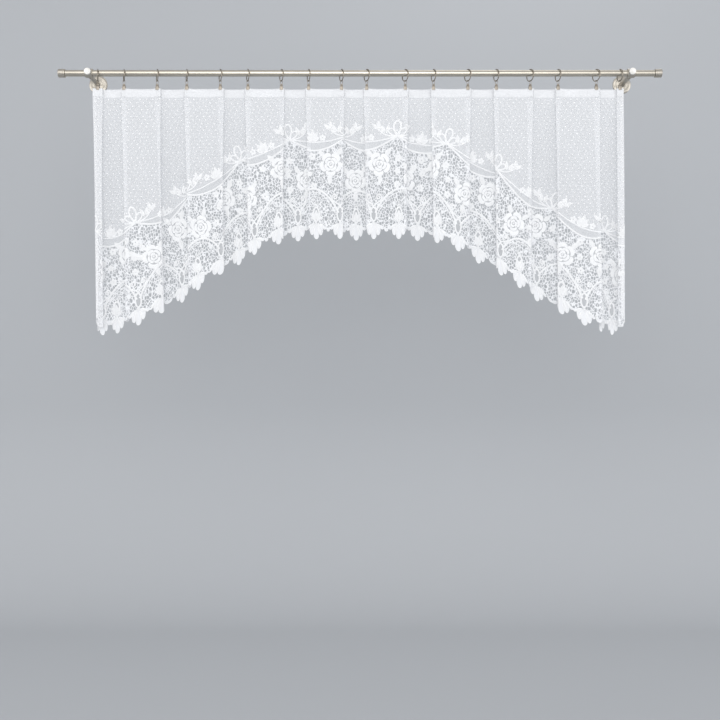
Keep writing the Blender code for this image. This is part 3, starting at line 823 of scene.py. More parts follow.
@dataclass(frozen=True)
class Nickel:
    """The finish of a plated metal piece, brushed along one way."""

    name: str
    colour: Point3
    roughness: float
    metallic: float = 1.0
    grain: Point3 = (40.0, 1800.0, 1800.0)
    spread: float = 0.14
    smudge: float = 18.0
    tones: tuple[float, float] = (0.94, 1.03)
    relief: float = 0.00005

    def make(self) -> bpy.types.Material:
        """The material."""
        material, shader = Finish.blank(self.name)
        tree = material.node_tree
        place = tree.nodes.new("ShaderNodeTexCoord").outputs["Object"]
        mapping = tree.nodes.new("ShaderNodeMapping")
        mapping.inputs["Scale"].default_value = self.grain
        tree.links.new(place, mapping.inputs["Vector"])
        lines = use_group(tree, Groups.brushed(), mapping.outputs["Vector"],
                          rough=self.roughness, spread=self.spread)
        smudge = Finish.add(tree, "ShaderNodeTexNoise", scale=self.smudge, detail=3.0)
        tree.links.new(place, smudge.inputs["Vector"])
        tone = Finish.ramp(tree, smudge.outputs["Fac"], 0.3, 0.7, *self.tones)
        Finish.tint(tree, shader, self.colour, tone)
        tree.links.new(lines.outputs["Roughness"], shader.inputs["Roughness"])
        shader.inputs["Metallic"].default_value = self.metallic
        Finish.bump(tree, shader, lines.outputs["Height"], strength=0.25,
                    distance=self.relief)
        return material


class Slot(Enum):
    """The record's material slots."""

    NICKEL = "satin_nickel"
    CLIP = "clip_nickel"
    SCREW = "screw_nickel"
    LACE = "white_lace"
    TAPE = "white_tape"


def add_piece(name: str, mesh: bpy.types.Mesh, materials: Iterable[bpy.types.Material]) -> bpy.types.Object:
    """Puts a finished mesh in the scene, on the one body.

    Args:
        name: The piece's name.
        mesh: Its mesh, in the object's frame.
        materials: Its materials, in the order of the mesh's slots.

    Returns:
        The new object.
    """
    mesh.name = name
    mesh.materials.clear()
    for material in materials:
        mesh.materials.append(material)
    piece = bpy.data.objects.new(name, mesh)
    bpy.context.scene.collection.objects.link(piece)
    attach(piece, "root")
    log.info("%s: %d faces", name, len(mesh.polygons))
    return piece


def smooth(mesh: bpy.types.Mesh, degrees: float = 35.0) -> bpy.types.Mesh:
    """Shades a mesh smooth, but for its sharp edges."""
    mesh.shade_smooth()
    mesh.set_sharp_from_angle(angle=math.radians(degrees))
    return mesh


def add_spline(curve: bpy.types.Curve, points: Sequence[Point3],
               closed: bool) -> bpy.types.Spline:
    """Adds a line through points to a curve."""
    spline = curve.splines.new("POLY")
    spline.points.add(len(points) - 1)
    for point, place in zip(spline.points, points):
        point.co = (*place, 1.0)
    spline.use_cyclic_u = closed
    return spline


def curve_mesh(curve: bpy.types.Curve) -> bpy.types.Mesh:
    """The mesh of a curve, with its bevel or its filled faces."""
    helper = bpy.data.objects.new(curve.name, curve)
    bpy.context.scene.collection.objects.link(helper)
    bpy.context.view_layer.update()
    graph = bpy.context.evaluated_depsgraph_get()
    mesh = bpy.data.meshes.new_from_object(helper.evaluated_get(graph))
    bpy.data.objects.remove(helper)
    return mesh


class Outline(Enum):
    """How a leaf or petal widens from its foot, 0, to its end, 1."""

    ROUND = "round"
    POINTED = "pointed"
    LONG = "long"

    def half_width(self, share: float) -> float:
        """Its half width there, as a share of the greatest."""
        if self is Outline.ROUND:
            return max(math.sin(math.pi * share**0.72) ** 0.55, 0.08)
        if self is Outline.POINTED:
            return max(math.sin(math.pi * share**0.85) ** 0.95, 0.05)
        return max(math.sin(math.pi * (0.06 + 0.94 * share) ** 1.25) ** 0.6, 0.12)


def ellipse(centre: Point, across: float, up: float, steps: int, turn: float = 0.0) -> Path:
    """Points round an ellipse, for a closed cord."""
    points = []
    for step in range(steps):
        angle = math.tau * step / steps
        x, y = across * math.cos(angle), up * math.sin(angle)
        points.append((centre[0] + x * math.cos(turn) - y * math.sin(turn),
                       centre[1] + x * math.sin(turn) + y * math.cos(turn)))
    return points


def swirl(centre: Point, radius: float, turns: float, start: float, steps: int = 20,
          inner: float = 0.22) -> Path:
    """Points of a spiral from its rim inwards.

    Args:
        centre: Its middle.
        radius: The radius that it starts with.
        turns: How often it winds, negative for clockwise.
        start: The angle that it starts from, in degrees.
        steps: The number of steps.
        inner: The share of the radius that it ends with.

    Returns:
        The points.
    """
    points = []
    for step in range(steps + 1):
        share = step / steps
        reach = radius * mix(1.0, inner, share**0.8)
        angle = math.radians(start) + math.tau * turns * share
        points.append((centre[0] + reach * math.cos(angle), centre[1] + reach * math.sin(angle)))
    return points


def bend(first: Point, lean_first: Point, lean_last: Point, last: Point, steps: int = 10) -> Path:
    """Points of a Bezier curve through its two ends."""
    points = []
    for step in range(steps + 1):
        t = step / steps
        s = 1.0 - t
        weights = (s * s * s, 3 * s * s * t, 3 * s * t * t, t * t * t)
        corners = (first, lean_first, lean_last, last)
        points.append(tuple(sum(w * c[axis] for w, c in zip(weights, corners))
                            for axis in (0, 1)))
    return points


@dataclass
class Spot:
    """Where a motif sits on the cut: its middle, its turn in degrees, and a flip."""

    x: float
    y: float
    turn: float = 0.0
    flip: bool = False

    def put(self, points: Iterable[Point]) -> Path:
        """A motif's points on the cut."""
        c, s = math.cos(math.radians(self.turn)), math.sin(math.radians(self.turn))
        side = -1.0 if self.flip else 1.0
        return [(self.x + x * side * c - y * s, self.y + x * side * s + y * c)
                for x, y in points]


class Lacework:
    """Collects flat cloth shapes and cords, then hangs them on the net as one piece."""

    def __init__(self, name: str, pleats: Pleats) -> None:
        """Starts with nothing drawn."""
        self.name = name
        self.pleats = pleats
        self.cloth = bmesh.new()
        self.curves = bpy.data.curves.new(name + "_cords", "CURVE")
        self.curves.dimensions = "3D"
        self.curves.twist_mode = "Z_UP"
        self.curves.bevel_depth = 0.001
        self.curves.bevel_resolution = 0
        self.curves.use_fill_caps = True

    def cord(self, points: Path, half: float, lift: float = 0.0003, closed: bool = False,
             taper: bool = False) -> None:
        """Draws a flat-lying cord.

        Args:
            points: The points that it follows on the cut.
            half: Half its width.
            lift: How far its middle lies off the net.
            closed: Whether it closes on itself.
            taper: Whether it thins towards both ends.
        """
        rise = lift / CORD_FLATNESS
        spline = add_spline(self.curves, [(x, y, rise) for x, y in points], closed)
        last = len(points) - 1
        for index, point in enumerate(spline.points):
            share = math.sin(math.pi * (0.12 + 0.76 * index / last)) if taper else 1.0
            point.radius = half * share / self.curves.bevel_depth

    def leaf(self, spot: Spot, length: float, width: float, outline: Outline,
             crown: float = 0.0005, lift: float = 0.0, edge: float = 0.0, rib: float = 0.0,
             grid: tuple[int, int] = (4, 6)) -> None:
        """Draws a petal or leaf that grows upwards from its foot at the spot.

        Args:
            spot: Its foot and turn.
            length: Its length.
            width: Its greatest width.
            outline: How it widens.
            crown: How far it swells off the net.
            lift: How far it lies off the net.
            edge: Half the width of the cord round it, or 0.
            rib: Half the width of its middle rib, or 0.
            grid: Its faces across and along.
        """
        across, along = grid
        made = bmesh.ops.create_grid(self.cloth, x_segments=across, y_segments=along, size=0.5)
        for vert in made["verts"]:
            side, share = vert.co.x * 2.0, vert.co.y + 0.5
            half = outline.half_width(share) * width / 2
            x, y = spot.put([(side * half, share * length)])[0]
            swell = crown * (1.0 - side * side) * math.sin(math.pi * min(share + 0.08, 1.0))
            vert.co = (x, y, lift + swell)
        if edge:
            steps = along + 2
            right = [(outline.half_width(i / steps) * width / 2, length * i / steps)
                     for i in range(steps + 1)]
            rim = right + [(-x, y) for x, y in reversed(right)]
            self.cord(spot.put(rim), edge, lift + 0.0003, closed=True)
        if rib:
            line = [(0.0, length * share) for share in (0.02, 0.3, 0.6, 0.9)]
            self.cord(spot.put(line), rib, lift + crown + 0.0003, taper=True)

    def crescent(self, spot: Spot, inner: float, outer: float, span: float,
                 crown: float = 0.0003, lift: float = 0.0002, edge: float = 0.0) -> None:
        """Draws a rose petal: a crescent round the spot, deepest in its middle.

        Args:
            spot: The rose's middle, and the turn of this petal.
            inner: The radius of its inner edge.
            outer: The greatest radius of its outer edge.
            span: The angle that it spans, in degrees.
            crown: How far it swells off the net.
            lift: How far it lies off the net.
            edge: Half the width of the cord along its outer edge, or 0.
        """
        def at(side: float, share: float) -> Point:
            """A place on the petal: side from -1 to 1, share from its inner edge out."""
            deep = (1.0 - (0.94 * abs(side)) ** 2.6) ** 0.5
            notch = 1.0 - 0.10 * math.exp(-((side / 0.16) ** 2))
            radius = inner * (1.0 - 0.06 * side * side) + (outer - inner) * deep * notch * share
            angle = math.radians(side * span / 2)
            return (-radius * math.sin(angle), radius * math.cos(angle))

        made = bmesh.ops.create_grid(self.cloth, x_segments=8, y_segments=3, size=0.5)
        for vert in made["verts"]:
            side, share = vert.co.x * 2.0, vert.co.y + 0.5
            x, y = spot.put([at(side, share)])[0]
            vert.co = (x, y, lift + crown * math.sin(math.pi * share) * (1.0 - side * side))
        if edge:
            rim = [at(mix(-1.0, 1.0, step / 12), 1.0) for step in range(13)]
            self.cord(spot.put(rim), edge, lift + 0.0002)

    def on_hem(self, points: Iterable[Point]) -> Path:
        """Points given as (x, height above the tips), on the cut."""
        return [(x, height - float(self.pleats.tip_drop(x))) for x, height in points]

    def hang(self, materials: tuple[bpy.types.Material, bpy.types.Material]) -> bpy.types.Object:
        """Hangs what was drawn.

        Args:
            materials: The finish of the cloth shapes and that of the cords.

        Returns:
            The finished piece.
        """
        if self.cloth.faces:
            bmesh.ops.solidify(self.cloth, geom=self.cloth.faces[:],
                               thickness=CLOTH_THICKNESS)
        cords = curve_mesh(self.curves)
        cords.transform(Matrix.Diagonal((1.0, 1.0, CORD_FLATNESS, 1.0)))
        count = len(self.cloth.faces)
        if cords.vertices:
            self.cloth.from_mesh(cords)
        self.cloth.faces.ensure_lookup_table()
        for index, face in enumerate(self.cloth.faces):
            face.material_index = int(index >= count)
        for edge, sign in ((0.0, -1), (self.pleats.width, 1)):
            geometry = self.cloth.verts[:] + self.cloth.edges[:] + self.cloth.faces[:]
            bmesh.ops.bisect_plane(self.cloth, geom=geometry, dist=MERGE,
                                   plane_co=(edge, 0, 0), plane_no=(sign, 0, 0),
                                   clear_outer=True)
        mesh = bpy.data.meshes.new(self.name)
        self.cloth.to_mesh(mesh)
        self.cloth.free()
        hang_mesh(mesh, self.pleats)
        smooth(mesh, 50.0)
        return add_piece(self.name, mesh, materials)


def hang_mesh(mesh: bpy.types.Mesh, pleats: Pleats,
              zones: Callable[[np.ndarray, np.ndarray], dict[str, np.ndarray]] | None = None
              ) -> None:
    """Moves a flat mesh to where it hangs, and keeps its place on the cut as a UV map.

    Args:
        mesh: The flat mesh.
        pleats: The hang.
        zones: Works out more UV maps, by name, from each corner's flat point and from the
            middle of its face across the cut, or None.
    """
    flat = np.empty(len(mesh.vertices) * 3, np.float32)
    mesh.vertices.foreach_get("co", flat)
    flat = flat.reshape(-1, 3).astype(float)
    corners = np.empty(len(mesh.loops), np.int32)
    mesh.loops.foreach_get("vertex_index", corners)
    maps = {"cut": flat[corners, :2]}
    if zones:
        sizes = np.empty(len(mesh.polygons), np.int32)
        mesh.polygons.foreach_get("loop_total", sizes)
        starts = np.cumsum(sizes) - sizes
        middles = np.add.reduceat(flat[corners, 0], starts) / sizes
        maps |= zones(flat[corners], np.repeat(middles, sizes))
    for name, values in maps.items():
        layer = mesh.uv_layers.new(name=name)
        layer.uv.foreach_set("vector", values.astype(np.float32).ravel())
    mesh.vertices.foreach_set("co", pleats.place(flat).astype(np.float32).ravel())
    mesh.update()


def hang_piece(name: str, bm: bmesh.types.BMesh, pleats: Pleats, material: bpy.types.Material) -> bpy.types.Object:
    """Hangs a flat mesh as a piece of its own.

    Args:
        name: The piece's name.
        bm: The flat mesh under construction, which is freed.
        pleats: The hang.
        material: Its finish.

    Returns:
        The piece.
    """
    mesh = bpy.data.meshes.new(name)
    bm.to_mesh(mesh)
    bm.free()
    hang_mesh(mesh, pleats)
    mesh.shade_smooth()
    return add_piece(name, mesh, [material])


@dataclass
class Net:
    """The net: one cut with its scalloped hem and its largest gaps."""

    pleats: Pleats
    layout: LaceLayout
    panel_step: float = 0.0085
    crease_step: float = 0.0010
    crease_reach: float = 0.0030
    level_step: float = 0.0240
    side_hem: float = 0.0120
    hem_head: float = 0.026
    hem_behind: float = 0.0007

    def cut_lines(self) -> list[float]:
        """Where the flat net is divided across its width, close together at the creases."""
        columns = self.pleats.column_u
        lines = list(np.arange(self.panel_step, self.pleats.width, self.panel_step))
        for fold in range(len(FOLDS)):
            for first, last in ((1, 2), (3, 4)):
                low = columns[POINTS_A_FOLD * fold + first] - self.crease_reach
                high = columns[POINTS_A_FOLD * fold + last] + self.crease_reach
                lines = [line for line in lines if not low < line < high]
                lines += list(np.arange(low, high, self.crease_step))
        return sorted(line for line in lines if 0.0005 < line < self.pleats.width - 0.0005)

    def flat(self) -> bpy.types.Mesh:
        """The flat cut, filled and not yet divided."""
        outline = bpy.data.curves.new("net_cut", "CURVE")
        outline.dimensions = "2D"
        outline.fill_mode = "BOTH"
        loops = [[(0.0, 0.0)] + self.layout.hem(self.pleats) + [(self.pleats.width, 0.0)]]
        loops += [self.layout.gap_rim(gap) for gap in self.layout.gaps(self.pleats)]
        for loop in loops:
            add_spline(outline, [(x, y, 0.0) for x, y in loop], True)
        return curve_mesh(outline)

    def zones(self, flat: np.ndarray, middles: np.ndarray) -> dict[str, np.ndarray]:
        """UV maps that tell the net's patterns apart.

        Args:
            flat: Rows of x, y and lift, one for each corner of each face.
            middles: The middle of that face across the cut, which picks the nearest motif.

        Returns:
            bands, the depth below the swags' lower and upper cords; fans, the height above
            the tips and the distance from the nearest one; and drops and roses, the place
            from the middle of the nearest one.
        """
        u = flat[:, 0]
        height = flat[:, 1] + self.pleats.tip_drop(u)
        below = self.layout.swag(u, self.pleats) - height
        under_top = self.layout.swag_top(u, self.pleats) - height
        tips = np.array([scallop.tip for scallop in self.pleats.scallops() if scallop.fan])
        nearest = tips[np.abs(middles[:, None] - tips[None, :]).argmin(axis=1)]
        middle = self.layout.drop_height - self.pleats.tip_drop(nearest)
        roses = np.array(self.layout.roses(self.pleats))
        rose = roses[np.abs(middles[:, None] - roses[None, :, 0]).argmin(axis=1)]
        return {
            "bands": np.stack([below, under_top], axis=1),
            "fans": np.stack([height, np.abs(u - nearest)], axis=1),
            "roses": flat[:, :2] - rose,
            "drops": np.stack([u - nearest, flat[:, 1] - middle], axis=1),
        }

    def divide(self, bm: bmesh.types.BMesh, faces: list[bmesh.types.BMFace],
               lines: Sequence[float], axis: int) -> None:
        """Cuts flat faces along lines, halving the faces and the lines each time.

        Args:
            bm: The mesh under construction.
            faces: The faces that the lines may cross.
            lines: Where the lines lie, in rising order.
            axis: The axis that they are read on.
        """
        if not faces or not lines:
            return
        middle = len(lines) // 2
        place, normal = [0.0, 0.0, 0.0], [0.0, 0.0, 0.0]
        place[axis], normal[axis] = lines[middle], 1.0
        edges = {edge for face in faces for edge in face.edges}
        verts = {vert for face in faces for vert in face.verts}
        done = bmesh.ops.bisect_plane(bm, geom=faces + list(edges) + list(verts), dist=1e-5,
                                      plane_co=place, plane_no=normal)
        halves = ([], [])
        for item in done["geom"]:
            if isinstance(item, bmesh.types.BMFace):
                halves[int(item.calc_center_bounds()[axis] > lines[middle])].append(item)
        self.divide(bm, halves[0], lines[:middle], axis)
        self.divide(bm, halves[1], lines[middle + 1:], axis)

    def build(self, material: bpy.types.Material) -> tuple[bpy.types.Object, float]:
        """Makes the net.

        Args:
            material: Its finish.

        Returns:
            The piece, and the area of its flat cut.
        """
        mesh = self.flat()
        bm = bmesh.new()
        bm.from_mesh(mesh)
        bmesh.ops.remove_doubles(bm, verts=bm.verts, dist=MERGE)
        bmesh.ops.dissolve_limit(bm, angle_limit=0.001, verts=[], edges=bm.edges[:])
        levels = np.arange(self.level_step, self.pleats.side_drop, self.level_step)
        self.divide(bm, bm.faces[:], [-level for level in levels[::-1]], 1)
        self.divide(bm, bm.faces[:], self.cut_lines(), 0)
        bmesh.ops.remove_doubles(bm, verts=bm.verts, dist=0.00008)
        for face in bm.faces:
            if face.normal.z < 0:
                face.normal_flip()
        area = sum(face.calc_area() for face in bm.faces)
        bm.to_mesh(mesh)
        bm.free()
        hang_mesh(mesh, self.pleats, self.zones)
        mesh.shade_smooth()
        piece = add_piece("lace_net", mesh, [material])
        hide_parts("net_curtain")
        return piece, area

    def side_hems(self, material: bpy.types.Material) -> list[bpy.types.Object]:
        """The turned-in hems down both side edges, behind the net."""
        pieces = []
        width = self.pleats.width
        for name, left in (("side_hem_left", 0.0), ("side_hem_right", width - self.side_hem)):
            bm = bmesh.new()
            bmesh.ops.create_grid(bm, x_segments=8, y_segments=60, size=0.5)
            for vert in bm.verts:
                x = left + (vert.co.x + 0.5) * self.side_hem
                foot = float(self.pleats.tip_drop(x)) - self.layout.fan_top
                vert.co = (x, -mix(self.hem_head, foot, 0.5 - vert.co.y), -self.hem_behind)
            pieces.append(hang_piece(name, bm, self.pleats, material))
        return pieces


@dataclass
class Fans:
    """The scallops of the hem: five lobes each, with their ribs, and a netted drop above."""

    pleats: Pleats
    layout: LaceLayout
    rim: float = 0.0010
    rib: float = 0.0008
    notches: tuple[float, ...] = (0.255, 0.64)
    inset: float = 0.001
    bead: float = 0.0026
    bead_cord: float = 0.0012
    drop_margin: float = 0.0021
    drop_cord: float = 0.0026

    def fan(self, work: Lacework, scallop: Scallop) -> None:
        """Draws one fan: its rim, a rib from each notch to its head, and a petal a lobe."""
        head = work.on_hem([(scallop.tip, self.layout.fan_top + self.inset)])[0]
        work.cord(self.layout.edge(scallop, self.pleats), self.rim)
        for side in (-1, 1):
            half = scallop.tip - scallop.start if side < 0 else scallop.stop - scallop.tip
            for notch in self.notches:
                height = self.layout.fan_height(notch) * self.pleats.scallop_height
                foot = work.on_hem([(scallop.tip + side * half * notch, height + self.inset)])[0]
                lean = (mix(foot[0], head[0], 0.35), mix(foot[1], head[1], 0.55))
                near = (mix(foot[0], head[0], 0.75), mix(foot[1], head[1], 0.85))
                work.cord(bend(foot, lean, near, head, 6), self.rib)
            for lobe in self.layout.lobes[1:]:
                self.petal(work, scallop.tip, head, lobe, side * half)
        work.cord(ellipse(head, self.bead, self.bead, 10), self.bead_cord, 0.0008,
                  closed=True)

    def petal(self, work: Lacework, tip: float, head: Point, lobe: Lobe, half: float) -> None:
        """Draws the raised petal in one lobe.

        Args:
            work: Where it is drawn.
            tip: Where the fan's tip lies across.
            head: The fan's head, on the cut.
            lobe: The lobe.
            half: The fan's half width on this side, negative on the left.
        """
        low = lobe.low * self.pleats.scallop_height + 0.0032
        end = work.on_hem([(tip + half * lobe.across * 0.97, low)])[0]
        start = (mix(head[0], end[0], 0.18), mix(head[1], end[1], 0.18))
        turn = math.degrees(math.atan2(end[1] - start[1], end[0] - start[0])) - 90.0
        work.leaf(Spot(start[0], start[1], turn), math.dist(start, end),
                  abs(half) * lobe.half * 1.45, Outline.LONG, 0.0008, 0.0002, rib=0.0006,
                  grid=(4, 6))

    def drop(self, work: Lacework, tip: float) -> None:
        """Draws the cord round the netted drop above a fan."""
        middle = work.on_hem([(tip, self.layout.drop_height)])[0]
        across, up = self.layout.drop_half
        rim = ellipse(middle, across + self.drop_margin, up + self.drop_margin, 22)
        work.cord(rim, self.drop_cord, 0.0007, closed=True)

    def build(self, cloth: bpy.types.Material, cord: bpy.types.Material) -> bpy.types.Object:
        """Makes all the fans as one piece."""
        work = Lacework("hem_fans", self.pleats)
        for scallop in self.pleats.scallops():
            if scallop.fan:
                self.fan(work, scallop)
                self.drop(work, scallop.tip)
            else:
                work.cord(self.layout.edge(scallop, self.pleats), self.rim)
        return work.hang((cloth, cord))


@dataclass
class Arcade:
    """The arches above the fans, with a palmette under each and scrolls between."""

    pleats: Pleats
    layout: LaceLayout

    def arch(self, work: Lacework, left: float, middle: float, right: float) -> None:
        """Draws an arch from one drop to the next but one."""
        foot, crown = self.layout.arch_foot, self.layout.arch_crown
        for inset, half in ((0.0, 0.0030), (0.0095, 0.0012)):
            points = []
            for step in range(29):
                share = mix(0.03, 0.97, step / 28)
                rise = math.sin(math.pi * share) ** 0.7
                x = mix(left + inset, right - inset, share)
                points.append((x, foot + (crown - foot - inset) * rise))
            work.cord(work.on_hem(points), half, 0.0006)
        base = work.on_hem([(middle, 0.058)])[0]
        slope = math.degrees(self.pleats.slope(middle)) * 0.6
        for angle, length in ((0, 0.027), (34, 0.024), (-34, 0.024), (70, 0.018), (-70, 0.018)):
            spot = Spot(base[0], base[1], slope + angle)
            work.leaf(spot, length, 0.0115, Outline.ROUND, 0.0008, edge=0.0006, rib=0.0005)
        ring = work.on_hem([(middle, 0.0965)])[0]
        work.cord(ellipse(ring, 0.0042, 0.0042, 12), 0.0009, closed=True)
        for angle in range(20, 161, 20):
            near, far = 0.0050, 0.0300
            turn = math.radians(angle)
            bar = [(middle + math.cos(turn) * reach, 0.0965 + math.sin(turn) * reach)
                   for reach in (near, (near + far) / 2, far)]
            work.cord(work.on_hem(bar), 0.0006)

    def scrolls(self, work: Lacework, tip: float) -> None:
        """Draws the pair of scrolls above the drop where two arches meet."""
        for flip in (False, True):
            side = -1 if flip else 1
            stem = bend((tip, 0.0960), (tip + side * 0.004, 0.108), (tip + side * 0.026, 0.106),
                        (tip + side * 0.0262, 0.1240), 9)
            curl = swirl((tip + side * 0.0165, 0.1240), 0.0097, side * 1.35,
                         0 if side > 0 else 180)
            work.cord(work.on_hem(stem + curl[1:]), 0.0020, 0.0005)
            heart = bend((tip, 0.0970), (tip + side * 0.010, 0.102), (tip + side * 0.018, 0.113),
                         (tip + side * 0.004, 0.1150), 8)
            work.cord(work.on_hem(heart), 0.0011)

    def build(self, cloth: bpy.types.Material, cord: bpy.types.Material) -> bpy.types.Object:
        """Makes the whole arcade as one piece."""
        work = Lacework("arcade", self.pleats)
        tips = [scallop.tip for scallop in self.pleats.scallops() if scallop.fan]
        for index in range(0, len(tips) - 2, 2):
            self.arch(work, *tips[index:index + 3])
        for tip in tips[::2]:
            self.scrolls(work, tip)
        return work.hang((cloth, cord))


@dataclass
class RoseBand:
    """Roses low and high in turn, with leaves and small blossoms between them."""

    pleats: Pleats
    layout: LaceLayout
    leaf_length: float = 0.031
    leaf_width: float = 0.0145
    leaf_foot: float = 0.031
    low_leaves: tuple[int, ...] = (-42, 42, 180, 80, -80)
    high_leaves: tuple[int, ...] = (-40, 40, 178, 95, -95)
    blossoms: tuple[Point, ...] = ((0.158, 0.0115), (0.198, 0.0100), (0.2430, 0.0115))
    seed: int = 11
    rings: tuple[tuple[int, float, float], ...] = (
        (5, 0.0234, 0.0368),
        (4, 0.0136, 0.0221),
        (3, 0.0054, 0.0122),
    )

    def rose(self, work: Lacework, spot: Spot, draw: random.Random) -> None:
        """Draws a rose: rings of petals, each with its count and radii, round a curled heart.

        Args:
            work: Where it is drawn.
            spot: Its middle and turn.
            draw: Makes each petal a little uneven.
        """
        for count, inner, outer in self.rings:
            start = draw.uniform(0.0, 360.0)
            for petal in range(count):
                turn = spot.turn + start + 360.0 * petal / count + draw.uniform(-4.0, 4.0)
                reach = mix(inner, outer, draw.uniform(0.86, 1.0))
                work.crescent(Spot(spot.x, spot.y, turn), inner, reach,
                              360.0 / count * draw.uniform(0.93, 1.0), edge=0.0008)
        work.cord(spot.put(swirl((0.0, 0.0), 0.0038, 1.5, 40, 14, 0.12)), 0.0010, 0.0005)

    def leaf(self, work: Lacework, spot: Spot, size: float) -> None:
        """Draws a leaf with its rib and side veins."""
        length, width = self.leaf_length * size, self.leaf_width * size
        work.leaf(spot, length, width, Outline.POINTED, 0.0006, edge=0.0007, rib=0.0007)
        for side in (-1, 1):
            for share in (0.25, 0.5):
                vein = [(0.0, length * share), (side * width * 0.32, length * (share + 0.20))]
                work.cord(spot.put(vein), 0.0004, 0.0008)

    def blossom(self, work: Lacework, spot: Spot, radius: float, petals: int = 5) -> None:
        """Draws a small open blossom."""
        for petal in range(petals):
            turn = 360.0 * petal / petals
            base = spot.put([(-math.sin(math.radians(turn)) * radius * 0.2,
                              math.cos(math.radians(turn)) * radius * 0.2)])[0]
            work.leaf(Spot(base[0], base[1], spot.turn + turn), radius * 0.8, radius * 0.75,
                      Outline.ROUND, 0.0005, 0.0002, edge=0.0005, grid=(2, 4))
        work.cord(ellipse((spot.x, spot.y), radius * 0.22, radius * 0.22, 8), 0.0007, 0.0006,
                  closed=True)

    def build(self, cloth: bpy.types.Material,
              cord: bpy.types.Material) -> list[bpy.types.Object]:
        """Makes the roses, and the leaves and blossoms, as two pieces."""
        draw = random.Random(self.seed)
        roses = Lacework("roses", self.pleats)
        leaves = Lacework("leaves", self.pleats)
        gaps = self.layout.gaps(self.pleats)
        for x, y, turn in gaps:
            half, side = self.layout.gap_length / 2, self.layout.gap_width / 2
            leaves.cord(ellipse((x, y), half, side, 10, turn), 0.0006, closed=True)
        centres = self.layout.roses(self.pleats)
        for number, (x, y) in enumerate(centres):
            slope = math.degrees(self.pleats.slope(x)) * 0.7
            turn = slope + draw.uniform(-25, 25)
            self.rose(roses, Spot(x, y, turn), draw)
            for angle in self.high_leaves if number % 2 else self.low_leaves:
                turn = slope + angle + draw.uniform(-7, 7)
                foot = Spot(x, y, turn).put([(0.0, self.leaf_foot)])[0]
                size = draw.uniform(0.85, 1.1)
                reach = self.leaf_foot + self.leaf_length * size * 0.5
                tip = Spot(x, y, turn).put([(0.0, reach)])[0]
                if self.clear(tip, gaps, centres, number):
                    self.leaf(leaves, Spot(foot[0], foot[1], turn), size)
        pitch = self.pleats.width / len(centres)
        for number in range(1, len(centres)):
            for height, radius in self.blossoms:
                x = pitch * number + draw.uniform(-0.006, 0.006)
                middle = leaves.on_hem([(x, height + draw.uniform(-0.004, 0.004))])[0]
                if self.clear(middle, gaps, centres, -1, 0.0125, 0.043):
                    self.blossom(leaves, Spot(*middle, draw.uniform(0, 72)), radius)
        return [roses.hang((cloth, cord)), leaves.hang((cloth, cord))]

    @staticmethod
    def clear(point: Point, gaps: Sequence[Point3],
              roses: Sequence[Point], own: int, gap_reach: float = 0.0105,
              rose_reach: float = 0.036) -> bool:
        """Whether a small motif here leaves the gaps and the other roses free.

        Args:
            point: The motif's middle.
            gaps: The gaps, as (x, y, turn).
            roses: The roses' middles.
            own: The number of the rose that it grows from, or -1.
            gap_reach: How near a gap may lie.
            rose_reach: How near another rose's middle may lie.

        Returns:
            True if it is clear of them all.
        """
        free = all(math.dist(point, gap[:2]) > gap_reach for gap in gaps)
        others = [rose for number, rose in enumerate(roses) if number != own]
        return free and all(math.dist(point, rose) > rose_reach for rose in others)


